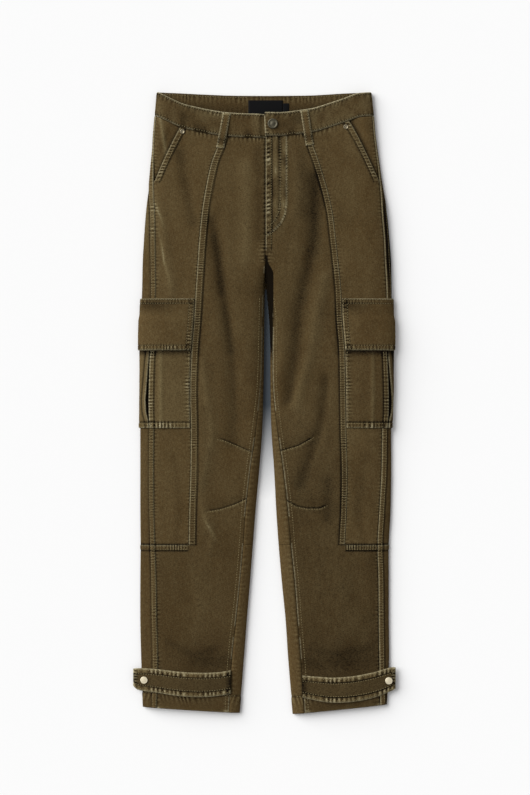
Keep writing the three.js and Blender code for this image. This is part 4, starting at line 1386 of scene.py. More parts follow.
@dataclass
class BackFace:
    """The sewing of a back panel: where it wraps onto the front side, and on the underside."""

    leg: Leg

    def relief(self, place: Array, row: Array) -> Relief:
        """Heights, wear and shade of a back panel.

        Args:
            place: places round the section.
            row: rows.

        Returns:
            The relief; its height counts on the front side only.
        """
        leg = self.leg
        face = Relief.none(place.shape)
        across = leg.across(place, row)
        down = row + leg.drop(across, row, "front")
        front = (place <= 1) & (across > 100)
        inner = (place <= 1) & (across < 100)
        beside = across - leg.edge("side", row)
        face.band(beside, FELL, FELL_RISE, front)
        face.pucker(down, bell(beside - 4.2, 4.2) * front, 4.6, 0.26, 2)
        if leg.side is Side.RIGHT:
            face.pucker(down, bell(beside - 4, 5) * bell(down - 212, 32) * front, 5.5, 0.6, 16)
        inseam = leg.edge("inseam", row) - across
        face.pucker(down, 0.55 * bell(inseam - 4, 5) * inner, 7.8, 0.22, 4)
        face.line("furrow", inseam, inner)
        self.gap(face, inner, inseam, row)
        top = smooth(0.0, 0.06, place) * (1 - smooth(0.96, 1.0, place)) * (place <= 1)
        face.height += 0.3 * Cloud(21, 22, 1.5).at(leg.sign * across, down) * top
        below = row - LEG_SEAM
        face.band(below, FELL, FELL_RISE, front)
        face.pucker(across, bell(below - 4, 5.5) * front, 4.6, 0.3, 5)
        hem = HEM_END - row
        face.pucker(across + 0.35 * hem, bell(hem - HEM + 5, 8) * (front + inner), 7.4, 0.24, 6)
        face.groove(hem - HEM, 0.5, 1.8, front + inner)
        covered = smooth(FLAP_TOP + 3, FLAP_TOP + 10, row) * (1 - smooth(543, 551, row)) * front
        face.height *= 1 - 0.9 * covered
        # Painted shade under the cargo pocket, which shows through its slit
        face.shade += 1.3 * covered * (row > FLAP_TOP + 12)
        face.shade += 0.2 * (place <= 1.6) * smooth(2, 22, beside)
        if leg.side is Side.LEFT:
            # Painted shadow on the strip beyond the side seam, lower than the front's edge
            hip = bell(down - 245, 85) * (place <= 1.8) * (place > 0.5)
            face.shade += 1.4 * hip * smooth(0.5, 3, beside)
            face.rope *= 1 - clamp(1.2 * hip)
            face.wear *= 1 - 0.8 * hip * smooth(1, 3, beside)
        else:
            face.wear += 0.2 * bell(down - 200, 50) * front
        self.underside(face, place, row)
        return face

    def gap(self, face: Relief, inner: Array, inseam: Array, row: Array) -> None:
        """Lets the inner edge sink below the crotch and paints it with shade there."""
        if self.leg.side is Side.LEFT:
            deep = smooth(270, 290, row) * (1 - smooth(375, 455, row)) * inner
            face.height -= 0.7 * deep * smooth(0.5, 5, inseam)
            face.shade += 2.5 * deep * smooth(-2.5, 0.0, inseam)
            face.wear *= 1 - deep
            face.rope *= 1 - deep
        face.shade += 0.5 * inner * bell(row - 290, 45)

    def underside(self, face: Relief, place: Array, row: Array) -> None:
        """Adds the seat seam and the hem where the garment lies on the floor, painted shade in the
        hollows where it arches off it, and paler patches where it lies flat.
        """
        leg = self.leg
        under = place > 1
        over = leg.skin(clamp(place, 2, 3), row)[..., 0] * leg.sign - leg.sign * FLY_SHIFT
        seat = np.where(row < BACK_CROTCH, over, 99.0)
        hem = HEM_END - row
        face.wear += (0.8 * bell(seat - 0.5, 1.5) + 0.35 * bell(seat - 8, 1.8)) * under
        face.shade += (0.5 * bell(seat - 10.5, 2) + 0.5 * bell(hem - HEM, 1.5)) * under
        face.pucker(row, bell(seat - 4.5, 4) * under, 6.0, 0.3, 14)
        face.pucker(over, bell(row - BAND - 3, 6) * under, 7.0, 0.3, 15)
        hollow = self.hollow(over, row)
        face.shade += 0.3 * hollow * under
        face.wear += 0.2 * clamp(0.3 - hollow) * clamp(Cloud(25, 30, 2).at(over, row)) * under

    def hollow(self, across: Array, row: Array) -> Array:
        """How far the underside arches off the floor."""
        leg = self.leg
        shift = 6.0 if leg.side is Side.RIGHT else -4.0
        rise = clamp(fold_height(HOLLOWS, across + shift, row + 3 * shift), 0, 1.2)
        return rise * smooth(6, 22, across - leg.edge("inner", row)) \
            * smooth(10, 30, leg.edge("outer", row) - across) * smooth(BAND + 4, BAND + 40, row)


def hem_of(row: Array) -> tuple[Array, Array]:
    """How far the turned hem stands proud, and the wall's thickness, in a row."""
    turned = smooth(HEM_END - HEM - 2, HEM_END - HEM + 2, row)
    return HEM_PROUD * turned, lerp(CLOTH, HEM_WALL, turned)


@dataclass
class LegPanels:
    """The flat panels of one leg: front centre, front side, hip facing and the two backs."""

    leg: Leg
    room: Workroom

    def wall(self, node: str, place: Array, row: Array, relief: Relief, level=False, keep=None,
             lowered=0.0) -> Wall:
        """Lays a panel on the leg.

        Args:
            node: the solid that it stands for.
            place: places round the section, a row of the grid each.
            row: the rows, shaped like place.
            relief: what the sewing does to the face.
            level: where the wall is cut straight up.
            keep: the squares that the panel has.
            lowered: how far below the skin the panel lies.

        Returns:
            The wall.
        """
        proud, thick = hem_of(row)
        under = (place > 2) & (place <= 3)
        points, out = self.leg.frame(place, row, level | under)
        over = self.leg.sign * (self.leg.skin(clamp(place, 2, 3), row)[..., 0] - FLY_SHIFT)
        lowered = lowered + np.where(under, BackFace(self.leg).hollow(over, row), 0.0)
        raised = np.where(place <= 1, proud, 0.0)
        height = np.where((place > 1.02) & (place < 3.9), 0.0, relief.height)
        face = points + out * (raised + height - lowered)[..., None]
        inside = points + out * (raised - thick - lowered)[..., None]
        return Wall(node, face, inside, relief, keep)

    def front_centre(self) -> Wall:
        """Front centre panel: the whole front below the cross seam, to the princess seam above."""
        leg = self.leg
        rows = np.unique(np.concatenate([between(BAND, LEG_SEAM - SEAM), between(LEG_SEAM + SEAM / 2,
                                                                                HEM_END)]))
        near = spread(118)
        beyond = spread(56)
        start = np.where(rows < FRONT_CROTCH, SEAM / 2, leg.edge("inseam", rows) + SEAM / 2)
        seam = np.where(rows < LEG_SEAM, leg.panel(rows) - SEAM / 2, leg.panel(rows))
        side = leg.edge("side", rows) - SEAM / 2
        across = np.concatenate([lerp(start[:, None], seam[:, None], near[None]),
                                 lerp(seam[:, None], side[:, None], beyond[None])[:, 1:]], 1)
        row = rows_over(rows, across)
        keep = np.ones((len(rows) - 1, across.shape[1] - 1), bool)
        keep[rows[:-1] < LEG_SEAM, len(near) - 1:] = False
        level = np.zeros(across.shape, bool)
        level[:, 0] = rows < FRONT_CROTCH
        relief = FrontFace(leg).relief(across, row)
        return self.wall(f"front_centre_{leg.word}", leg.place(across, row), row, relief,
                         level, keep)

    def front_side(self) -> Wall:
        """Front side panel, cut away along the hip pocket's mouth."""
        leg = self.leg
        rows = between(BAND, LEG_SEAM - SEAM / 2)
        shares = spread(62)
        start = leg.panel(rows) + SEAM / 2
        across = lerp(start[:, None], leg.side_edge(rows)[:, None], shares[None])
        row = rows_over(rows, across)
        relief = FrontFace(leg).relief(across, row)
        relief.height -= soften(leg.side_edge(row) - across, CLOTH, 1.0) * (row < MOUTH_END)
        return self.wall(f"front_side_{leg.word}", leg.place(across, row), row, relief)

    def hip_facing(self) -> Wall:
        """The cloth that shows outside the hip pocket's mouth."""
        leg = self.leg
        tuck, rise = 9.0, 20.0
        rows = between(BAND, MOUTH_END)
        shares = np.linspace(0, 1, 26)
        start = leg.side_edge(rows) - tuck
        end = leg.edge("side", rows) - SEAM / 2
        across = lerp(start[:, None], end[:, None], shares[None])
        row = rows_over(rows, across)
        mouth = leg.side_edge(row)
        relief = Relief.none(across.shape)
        relief.wrinkle(leg.sign * across, row, 31, 0.3)
        relief.height *= smooth(3, 10, across - mouth)
        # Painted shade under the pocket mouth's edge
        relief.shade += 0.75 * (1 - smooth(-1, 7, across - mouth))
        if leg.side is Side.RIGHT:
            # A raised fold, painted paler as highlight and rubbing
            fold = bell(across - lerp(173, 161, (row - BAND) / 75), 3.5) * (1 - smooth(110, 125, row))
            relief.height += 0.9 * fold * smooth(4, 12, across - mouth)
            relief.wear += 0.55 * fold
        relief.pucker(row, bell(end[:, None] - across, 5), 5.8, 0.22, 2)
        lowered = (CLOTH + FACING_CLEAR) * (1 - smooth(4, rise, across - mouth))
        return self.wall(f"hip_pocket_facing_{leg.word}", leg.place(across, row), row,
                         relief, lowered=lowered)

    def back(self, first: float, last: float, node: str) -> Wall:
        """A back panel from the inseam round both folds to the side seam."""
        leg = self.leg
        rows = between(first, last)
        inseam = leg.place(np.maximum(leg.edge("inseam", rows) - SEAM / 2, SEAM), rows)
        side = leg.place(leg.edge("side", rows) + SEAM / 2, rows)
        strip, roll, flank = 9, 5, 15
        underside = np.concatenate([[0, 0.008, 0.016, 0.026, 0.036, 0.046, 0.056, 0.07, 0.1],
                                    np.linspace(0.13, 0.97, 22), [1]])
        every = np.ones((len(rows), 1))
        place = np.concatenate([
            lerp(inseam[:, None], 0.0, np.linspace(0, 1, strip)[None]),
            every * np.linspace(4, 3, roll)[None, 1:-1],
            every * (3 - underside)[None],
            every * np.linspace(2, 1, roll)[None, 1:-1],
            lerp(1.0, side[:, None], np.linspace(0, 1, flank)[None]),
        ], 1)
        row = rows_over(rows, place)
        keep = np.ones((len(rows) - 1, place.shape[1] - 1), bool)
        keep[rows[:-1] < FRONT_CROTCH - 1, :strip - 1] = False
        keep[rows[:-1] < BACK_CROTCH - 1, strip - 1:strip + roll - 2] = False
        level = np.zeros(place.shape, bool)
        level[:, strip - 1] = rows < BACK_CROTCH
        relief = BackFace(leg).relief(place, row)
        return self.wall(node, place, row, relief, level, keep)

    def build(self) -> None:
        """Makes and seats all panels of the leg."""
        upper, lower = f"back_upper_{self.leg.word}", f"back_lower_{self.leg.word}"
        self.room.sew(self.front_centre(), (upper, lower))
        self.room.sew(self.front_side(), (upper, lower))
        self.room.sew(self.hip_facing(), (upper,))
        self.room.sew(self.back(BAND, LEG_SEAM - SEAM / 2, upper))
        self.room.sew(self.back(LEG_SEAM + SEAM / 2, HEM_END, lower))
        self.stitch()

    def on_face(self, across, row, above: float = 0.12) -> tuple[Array, Array]:
        """Points and directions on the sewn front face."""
        across, row = np.broadcast_arrays(np.asarray(across, float), np.asarray(row, float))
        beyond = across > self.leg.edge("side", row) - SEAM / 2
        place = self.leg.place(across, row)
        points, out = self.leg.frame(place, row)
        front = FrontFace(self.leg).relief(across, row).height
        back = BackFace(self.leg).relief(place, row).height
        height = np.where(beyond, back, front) + hem_of(row)[0]
        return points + out * (height + above)[..., None], out

    def stitch(self) -> None:
        """Sews the seams of the leg's front side."""
        leg = self.leg
        thread = self.room.thread_of(f"leg_{leg.word}")
        width = FrontFace.BAND_WIDTH[leg.side]
        rows = np.arange(BAND + 2, LEG_SEAM - 2, SAMPLE)
        for inset in (1.8, width - 1.8):
            thread.line(*self.on_face(leg.panel(rows) - inset, rows))
        rows = np.arange(BAND + 2, FLAP_TOP - 3, SAMPLE)
        lower = np.arange(POCKET_END + 3, HEM_END - 2, SAMPLE)
        for inset in (1.8, 7.0):
            for part in (rows[rows > MOUTH_END + 3], lower):
                thread.line(*self.on_face(leg.edge("side", part) + inset, part))
        rows = np.arange(FRONT_CROTCH + 60, HEM_END - 2, SAMPLE)
        thread.line(*self.on_face(leg.edge("inseam", rows) + 6.2, rows))
        for inset in (1.8, 7.0):
            row = LEG_SEAM + inset
            across = np.arange(float(leg.panel(row)) + 2, float(leg.edge("side", row)) - 1, SAMPLE)
            thread.line(*self.on_face(across, row))
        row = HEM_END - HEM
        across = np.arange(float(leg.edge("inner", row)) + 8, float(leg.edge("outer", row)) - 4, SAMPLE)
        thread.line(*self.on_face(across, row))
        rows = np.arange(BAND + 2, MOUTH_END - 1, SAMPLE)
        for inset in (1.8, 7.2):
            thread.line(*self.on_face(leg.side_edge(rows) - inset, rows))
        for path in FrontFace.DARTS[leg.side]:
            across, down = self.points_along(path, 3.0)
            thread.line(*self.on_face(across, leg.row_of(across, down + 2.2)))
        if leg.side is Side.LEFT:
            across, down = self.points_along(FrontFace.FLY, 3.0)
            for inset in FrontFace.FLY_INSETS:
                on = (across - inset > 2.5) & (down - inset * 0.4 > 78)
                thread.line(*self.on_face((across - inset)[on], leg.row_of(across, down
                                                                          - inset * 0.4)[on]))
            rows = np.arange(BAND + 2, FRONT_CROTCH - 25, SAMPLE)
            for inset in (1.6, 9.2):
                thread.line(*self.on_face(np.full(len(rows), inset), rows))
        self.stitch_underside(thread)

    @staticmethod
    def points_along(path: Sequence[tuple[float, float]], step: float) -> tuple[Array, Array]:
        """Evenly spaced places along a path."""
        points = np.array(path, float)
        along = np.concatenate([[0], np.cumsum(np.hypot(*np.diff(points, axis=0).T))])
        at = np.linspace(0, along[-1], max(int(along[-1] / step), 2))
        return np.interp(at, along, points[:, 0]), np.interp(at, along, points[:, 1])

    def stitch_underside(self, thread: Stitching) -> None:
        """Sews the seat seam and the hem where they lie on the floor."""
        leg = self.leg
        rows = np.arange(BAND + 3, BACK_CROTCH - 6, 3.0)
        for inset in (2.0, 8.0):
            points, out = leg.frame(leg.under(np.full(rows.shape, inset), rows), rows, True)
            thread.line(points - 0.05 * out, out)
        row = HEM_END - HEM
        across = np.arange(float(leg.edge("inner", row)) + 6, float(leg.edge("outer", row)) - 7, 3.0)
        rows = np.full(across.shape, row)
        points, out = leg.frame(leg.under(across, rows), rows, True)
        thread.line(points - 0.05 * out, out)


def pocket_offset(leg: Leg, place: Array, row: Array) -> Array:
    """How far the cargo pocket's inside stands off the leg."""
    start = leg.place(leg.edge("panel", row), row)
    share = clamp((place - start) / (1 - start))
    length = clamp((row - POCKET_TOP) / (POCKET_END - POCKET_TOP))
    puff = POCKET_PUFF * np.sin(math.pi * np.minimum(share, 0.92)) * np.sin(math.pi * length)
    front = CLEAR + 0.6 * smooth(0, 0.2, share) + np.maximum(puff, 0)
    fold = lerp(CLEAR + 0.6, CLEAR, clamp(place - 1))
    return np.where(place > 1, fold, front)


def slit_edge(leg: Leg, row: Array, way: int) -> Array:
    """Edge of the cargo pocket's slit, which bows and gapes; way is -1 for its inner edge."""
    rows = [378, 427, 449, 482, 506, 526, 543, 553]
    bow = np.interp(row, rows, [-2.4, -2.4, -1.0, 0.9, 2.2, 1.9, -0.3, -0.8])
    half = np.interp(row, rows, [0.2, 0.3, 0.8, 1.7, 2.4, 2.0, 0.4, 0.2])
    return leg.slit + bow + way * half


@dataclass
class CargoPocket:
    """Cargo pocket of one leg: front half, back half round the edge, and the flap."""

    leg: Leg
    room: Workroom
    step: float = 1.6

    # How far in from an edge its two rows of stitches run, how many points they have along it, and
    # the places round the fold where they and the other sewing end
    INSETS = (2.0, 8.0)
    LINE_POINTS = 60
    LINE_END = 1.05
    SEWN_END = 1.6
    # Length in mm that the outer fold adds along a piece
    FOLD_RUN = 18

    def grid(self, first: float, last: float, start: Callable, end: Optional[Callable]) \
            -> tuple[Array, Array]:
        """Places and rows of a piece.

        Args:
            first: its first row.
            last: its last row.
            start: gives the distance across of its inner edge in each row.
            end: gives that of its outer edge, or None where it wraps round the fold.

        Returns:
            The places and the rows.
        """
        leg = self.leg
        rows = np.linspace(first, last, int((last - first) / self.step) + 1)
        begin = leg.place(start(rows), rows)[:, None]
        every = np.ones((len(rows), 1))
        if end is not None:
            stop = leg.place(end(rows), rows)[:, None]
            place = lerp(begin, stop, np.linspace(0, 1, 48)[None])
        else:
            count = 52 if float(begin.mean()) < 0.8 else 18
            under = leg.under(WRAP_END, rows)[:, None]
            place = np.concatenate([
                lerp(begin, 1.0, np.linspace(0, 1, count)[None]),
                every * np.linspace(1, 2, 9)[None, 1:],
                lerp(2.0, under, np.linspace(0, 1, 14)[None])[:, 1:],
            ], 1)
        return place, rows_over(rows, place)

    def wall(self, node: str, place: Array, row: Array, offset: Array, thick: float,
             relief: Relief) -> Wall:
        """Lays a piece over the leg at an offset."""
        points, out = self.leg.frame(place, row, place > 2)
        height = relief.height * (1 - smooth(1.15, 1.5, place))
        face = points + out * (offset + thick + height)[..., None]
        inside = points + out * offset[..., None]
        return Wall(node, face, inside, relief)

    def dress(self, place: Array, row: Array, seed: int, edge: Optional[Array] = None) -> Relief:
        """Edge bands and puckers round a pocket piece, and the painted shadow below the flap.

        Args:
            place: places round the section.
            row: rows.
            seed: shifts the patterns.
            edge: distance from the inner vertical edge, in mm.

        Returns:
            The relief.
        """
        leg = self.leg
        across = leg.across(place, row)
        along = leg.sign * (across + self.FOLD_RUN * clamp(place - 1))
        top = place < self.SEWN_END
        face = Relief.none(place.shape)
        face.wrinkle(along, row, 40 + seed, 0.5)
        low = POCKET_END - row
        face.band(low, 9.0, 0.45, top)
        face.pucker(along, bell(low - 4, 6.5) * top, 6.2, 0.42, seed)
        if edge is not None:
            face.pucker(row, bell(edge - 3.5, 5.5) * top, 5.8, 0.36, seed + 1)
            face.line("crest", edge - 0.8, top)
        face.line("crest", low - 0.8, top)
        face.height -= soften(low, CLOTH, 1.2) * top
        # Painted shadow below the flap
        face.shade += 0.8 * bell(row - FLAP_END - 1, 7) * top
        face.wear += 0.14 * (leg.side is Side.RIGHT)
        face.shade += 0.16 * (leg.side is Side.LEFT)
        return face

    def front(self) -> Wall:
        """The half on the front side, to the slit."""
        leg = self.leg
        slit = lambda rows: slit_edge(leg, rows, -1)
        place, row = self.grid(POCKET_TOP, POCKET_END, lambda rows: leg.panel(rows) + POCKET_INSET, slit)
        across = leg.across(place, row)
        relief = self.dress(place, row, 1, across - leg.panel(row))
        welt = slit(row) - across
        relief.band(welt, 7.5, 0.5)
        relief.pucker(row, bell(welt - 3.5, 5), 5.4, 0.34, 5)
        relief.height -= soften(welt, POCKET_WALL, 1.2)
        crease = leg.slit - 20 if leg.side is Side.RIGHT else leg.slit - 26
        # A raised crease, painted paler as highlight and rubbing
        relief.height += 0.8 * bell(across - crease, 4)
        relief.wear += 0.3 * bell(across - crease, 3)
        offset = pocket_offset(leg, place, row)
        return self.wall(f"cargo_pocket_front_{leg.word}", place, row, offset, POCKET_WALL, relief)

    def back(self) -> Wall:
        """The half from the slit round the edge to the underside."""
        leg = self.leg
        slit = lambda rows: slit_edge(leg, rows, 1)
        place, row = self.grid(POCKET_TOP, POCKET_END, slit, None)
        across = leg.across(place, row)
        relief = self.dress(place, row, 2)
        welt = np.where(place < 1, across - slit(row), 30.0)
        relief.band(welt, 5.5, 0.4)
        relief.height -= soften(welt, POCKET_WALL, 1.2)
        offset = pocket_offset(leg, place, row)
        return self.wall(f"cargo_pocket_back_{leg.word}", place, row, offset, POCKET_WALL, relief)

    def flap_offset(self, place: Array, row: Array) -> Array:
        """How far the flap's inside stands off the leg."""
        over = smooth(*POCKET_RISE, row) * (POCKET_WALL + CLEAR)
        return pocket_offset(self.leg, place, row) + over

    def flap_relief(self, place: Array, row: Array) -> Relief:
        """The flap's stitched edges and its soft dents, with painted shade below its top edge."""
        leg = self.leg
        across = leg.across(place, row)
        top = place < self.SEWN_END
        edge = across - leg.panel(row) - POCKET_INSET
        relief = Relief.none(place.shape)
        relief.wrinkle(leg.sign * across, row, 51, 0.5)
        low = FLAP_END - row
        high = row - FLAP_TOP
        along = leg.sign * (across + self.FOLD_RUN * clamp(place - 1))
        for distance, way, seed, force in ((low, along, 3, 0.4), (edge, row, 4, 0.34),
                                           (high, along, 5, 0.2)):
            relief.pucker(way, bell(distance - 4.8, 4.2) * top, 5.6, force, seed)
            relief.groove(distance - self.INSETS[0], 0.25, 1.0, top)
            relief.groove(distance - self.INSETS[1], 0.35, 1.2, top)
            relief.line("crest", distance - 0.8, top)
            relief.wear += 2.4 * (force - 0.12) * bell(distance - 0.4, 1.2) * top
            relief.height -= soften(distance, FLAP_WALL, 1.8) * top
        # Painted shade below the flap's top edge
        relief.shade += 0.5 * bell(high - 12, 9) * (0.5 + 0.5 * np.sin(along / 17.0)) * top
        return relief

    def flap(self) -> Wall:
        """The flap over the pocket."""
        leg = self.leg
        place, row = self.grid(FLAP_TOP, FLAP_END, lambda rows: leg.panel(rows) + POCKET_INSET, None)
        return self.wall(f"cargo_flap_{leg.word}", place, row,
                         self.flap_offset(place, row), FLAP_WALL, self.flap_relief(place, row))

    def build(self) -> None:
        word = self.leg.word
        self.room.sew(self.front(), (f"front_side_{word}",))
        self.room.sew(self.back(), (f"back_upper_{word}",))
        self.room.sew(self.flap(), (f"cargo_pocket_front_{word}",))
        self.stitch()

    def stitch(self) -> None:
        """Sews the flap's and the pocket's edges."""
        leg = self.leg
        thread = self.room.thread_of(f"pocket_{leg.word}")

        def flap_line(place: Array, row: Array) -> None:
            points, out = leg.frame(place, row)
            high = self.flap_offset(place, row) + FLAP_WALL + 0.1
            thread.line(points + out * (high + self.flap_relief(place, row).height)[:, None], out)

        for inset in self.INSETS:
            rows = np.arange(FLAP_TOP + inset, FLAP_END - inset, SAMPLE)
            flap_line(leg.place(leg.panel(rows) + POCKET_INSET + inset, rows), rows)
            for row in (FLAP_TOP + inset, FLAP_END - inset):
                start = float(leg.place(leg.panel(row) + POCKET_INSET + inset, row))
                places = np.linspace(start, self.LINE_END, self.LINE_POINTS)
                flap_line(places, np.full(self.LINE_POINTS, row))
        for inset in self.INSETS:
            row = POCKET_END - inset
            start = float(leg.place(leg.panel(row) + 3, row))
            places = np.linspace(start, self.LINE_END, self.LINE_POINTS)
            rows = np.full(self.LINE_POINTS, row)
            points, out = leg.frame(places, rows)
            relief = self.dress(places, rows, 1)
            high = pocket_offset(leg, places, rows) + POCKET_WALL + 0.15 + relief.height
            thread.line(points + out * high[:, None], out)
        rows = np.arange(FLAP_END + 2, POCKET_END - 9, SAMPLE)
        slit = slit_edge(leg, rows, -1)
        for across in (leg.panel(rows) + 3.5, slit - 2.2, slit - 6.2):
            places = leg.place(across, rows)
            points, out = leg.frame(places, rows)
            high = pocket_offset(leg, places, rows) + POCKET_WALL + 0.5
            thread.line(points + out * high[:, None], out)


@dataclass
class Waistband:
    """The waistband's three strips, the five loops, the label and the button."""

    room: Workroom
    tuck_rise: tuple[float, float] = (4.0, 12.0)
    underlap: float = 34.0
    button_at: tuple[float, float] = (11.7, 52.8)

    ROWS = np.linspace(0, BAND - BAND_GAP, 27)

    def lay(self, leg: Leg, place: Array, row: Array, distance: Array, level) -> Array:
        """Points of the band, whose rows hang from its lower edge."""
        points, out = leg.frame(place, row, level)
        seam, _ = leg.frame(place, np.full(row.shape, BAND), level)
        points = points + out * distance[..., None]
        points[..., 1] = seam[..., 1] + BAND - row
        return points

    def relief(self, x: Array, row: Array, seed: int) -> Relief:
        """Stitched edges and puckers of the band."""
        face = Relief.none(x.shape)
        face.wrinkle(x, row, 60 + seed, 0.25)
        low = BAND - BAND_GAP - row
        for edge, pitch, force in ((row, 7.4, 0.95), (low, 6.2, 0.6)):
            face.pucker(x + 0.3 * edge, force * bell(edge - 5, 4.5), pitch, 0.2, seed)
            face.groove(edge - 3.0, 0.15, 1.0)
            face.height -= soften(edge, BAND_WALL, 1.8)
        face.line("crest", row - 0.8)
        blotch = Cloud(75, 12, 1.3).at(x, row) + 0.6 * Cloud(77, 30).at(x, row)
        face.wear += 1.2 * bell(row, 1.1) + 0.2 * bell(low, 1.2) + 0.24 * clamp(blotch)
        face.shade += 0.16 + 0.32 * clamp(-blotch)
        # Painted shade along the lower edge, where it rounds under
        face.shade += 0.2 * bell(low, 1.6)
        face.line("crest", low - 1.2, blotch > -0.5)
        return face

    def lining(self, x: Array, row: Array) -> Relief:
        """Puckers of the band's inside, and painted shade over it, deeper just below its top edge and
        towards its seam.
        """
        face = Relief.none(x.shape)
        face.pucker(x, bell(row - 6, 6), 6.8, 0.2, 6)
        face.pucker(x, bell(row - 32, 6), 6.8, 0.2, 7)
        face.shade += 0.12 + 0.3 * smooth(6, 24, row) + 0.3 * bell(row - 2, 2)
        face.height -= soften(row, BAND_WALL, 1.5)
        return face

    def front(self, leg: Leg, starts: Sequence[float], tuck: float) -> Wall:
        """A front strip from its free end to the side seam."""
        rows = self.ROWS
        shares = np.linspace(0, 1, 96)
        inner = np.array(starts)
        end = leg.edge("side", rows) - SEAM / 2
        across = np.concatenate([np.broadcast_to(inner[None], (len(rows), len(inner))),
                                 lerp(14.0, end[:, None], shares[None])], 1)
        if leg.side is Side.LEFT:
            slant = 2.4 * (rows / BAND)[:, None] + 2.2 * bell(rows, 2.2)[:, None]
            across = across + slant * (1 - smooth(-3, 9, across))
        row = rows_over(rows, across)
        tucked = tuck * (1 - smooth(*self.tuck_rise, across))
        relief = self.relief(leg.sign * across, row, 1)
        if leg.side is Side.LEFT:
            free = across - across[:, :1]
            relief.pucker(row, bell(free - 3.5, 3), 6.0, 0.25, 4)
            relief.wear += 0.6 * bell(free, 1.2)
            relief.line("crest", free - 0.9)
            relief.shade += 0.35 * bell(across - 55, 24) * bell(row - 14, 12)
            relief.height -= soften(free, BAND_WALL, 1.8)
        relief.height *= np.where(across < 4, 0.0 if tuck else 1.0, 1.0)
        place = leg.place(np.maximum(across, SEAM / 2), row)
        level = across < self.tuck_rise[1]
        base = BAND_PROUD - tucked
        face = self.lay(leg, place, row, base + relief.height, level)
        inside = self.lay(leg, place, row, base - BAND_WALL, level)
        for points in (face, inside):
            points[..., 0] = np.where(across < SEAM / 2, leg.sign * across + FLY_SHIFT, points[..., 0])
        return Wall(f"waistband_front_{leg.word}", face, inside, relief)

    def back(self) -> Wall:
        """The back strip round both folds."""
        rows = self.ROWS
        halves = []
        for leg in (RIGHT, LEFT):
            side = leg.place(leg.edge("side", rows) + SEAM / 2, rows)[:, None]
            every = np.ones((len(rows), 1))
            place = np.concatenate([lerp(side, 1.0, np.linspace(0, 1, 6)[None]),
                                    every * np.linspace(1, 2, 9)[None, 1:],
                                    every * np.linspace(2, 3, 130)[None, 1:]], 1)
            row = rows_over(rows, place)
            x = leg.skin(place, row)[..., 0]
            relief = self.relief(x, row, 2)
            relief.height = np.where(place > 1.3, 0.0, relief.height)
            level = place > 2
            face = self.lay(leg, place, row, BAND_PROUD + relief.height, level)
            lining = self.lining(x, row)
            rise = lining.height * smooth(2.0, 2.06, place)
            inside = self.lay(leg, place, row, BAND_PROUD - BAND_WALL - rise, level)
            face[:, -1, 0] = FLY_SHIFT
            inside[:, -1, 0] = FLY_SHIFT
            halves.append((face, inside, relief, lining))
        right, left = halves
        return Wall("waistband_back", joined(right[0], left[0]), joined(right[1], left[1]),
                    right[2].beside(left[2]), None, right[3].beside(left[3]))

    def loop(self, leg: Leg, top: float, end: float) -> Wall:
        """A front belt loop, sewn above the band and below its seam, slack between."""
        first, last, count = 1, 60, 40
        tacks = (4.0, 56.5)
        rows = np.linspace(first, last, count)[:, None]
        columns = np.linspace(-1, 1, 11)[None]
        share = rows / last
        across = lerp(top, end, share) + columns * LOOP_WIDTH / 2
        rows = np.broadcast_to(rows, across.shape)
        held = np.minimum(rows, BAND - SEAM)
        on_band = self.lay(leg, leg.place(across, BAND / 2), held, np.zeros(across.shape), True)
        down = leg.waist.at("front", across) + rows - BAND
        over = leg.top(across, leg.row_of(across, down))
        base = BAND_PROUD + SEAM + 1.2 * np.sin(math.pi * share) ** 2
        height = np.where(rows < BAND, on_band[..., 2], over) + base
        y = np.where(rows < BAND, on_band[..., 1], LENGTH / 2 - down)
        inside = np.stack([leg.sign * across + FLY_SHIFT, y, height], -1)
        relief = Relief.none(across.shape)
        edge = LOOP_WIDTH / 2 * (1 - np.abs(columns)) + 0 * rows
        relief.pucker(rows, bell(edge - 1.5, 3), 5.0, 0.2, 3)
        relief.groove(edge - 2.2, 0.15, 0.8)
        relief.line("crest", edge - 0.8)
        relief.wear += 0.4 * bell(edge, 1.2) + 0.9 * bell(rows - first, 2.0)
        relief.wear += 0.9 * bell(rows - last, 1.6)
        # Painted shade where the loop steps down from the band
        relief.shade += 0.4 * bell(rows - 47, 6)
        relief.height -= soften(edge, LOOP_WALL, 1.3)
        for tack in tacks:
            relief.height -= 0.3 * bell(rows - tack, 1.8)
            relief.wear += 0.5 * bell(rows - tack, 1.4)
        face = inside + UP * (LOOP_WALL + relief.height)[..., None]
        thread = self.room.thread_of("waist")
        up = np.tile(UP, (count, 1))
        for column in (2, 8):
            thread.line(face[:, column] + [0, 0, 0.1], up)
        for tack in tacks:
            k = round((tack - first) / (last - first) * (count - 1))
            for shift in (-0.6, 0.0, 0.6):
                row = face[k, 1:-1] + [0, -shift, 0.25]
                thread.line(row, up[:len(row)], pitch=1.4, length=1.3)
        return Wall(f"belt_loop_front_{leg.word}", face, inside, relief)

    def back_loop(self, word: str, middle: float) -> None:
        """A back belt loop, flat on the floor under the band."""
        count, top, length = 34, 5.5, 62
        across = np.linspace(-1, 1, 9)[None] * LOOP_WIDTH / 2 + np.zeros((count, 1))
        along = top + length * np.linspace(0, 1, count)[:, None] + np.zeros(across.shape)
        edge = LOOP_WIDTH / 2 - np.abs(across)
        x = middle + across + FLY_SHIFT
        y = LENGTH / 2 - along
        relief = Relief.none(across.shape)
        relief.wear += 0.9 * bell(edge, 1.3)
        face = np.stack([x, y, np.zeros(x.shape)], -1)
        inside = np.stack([x, y, LOOP_WALL - soften(edge, LOOP_WALL, 1.2)], -1)
        self.room.sew(Wall(f"belt_loop_back_{word}", face, inside, relief), ("waistband_back",))

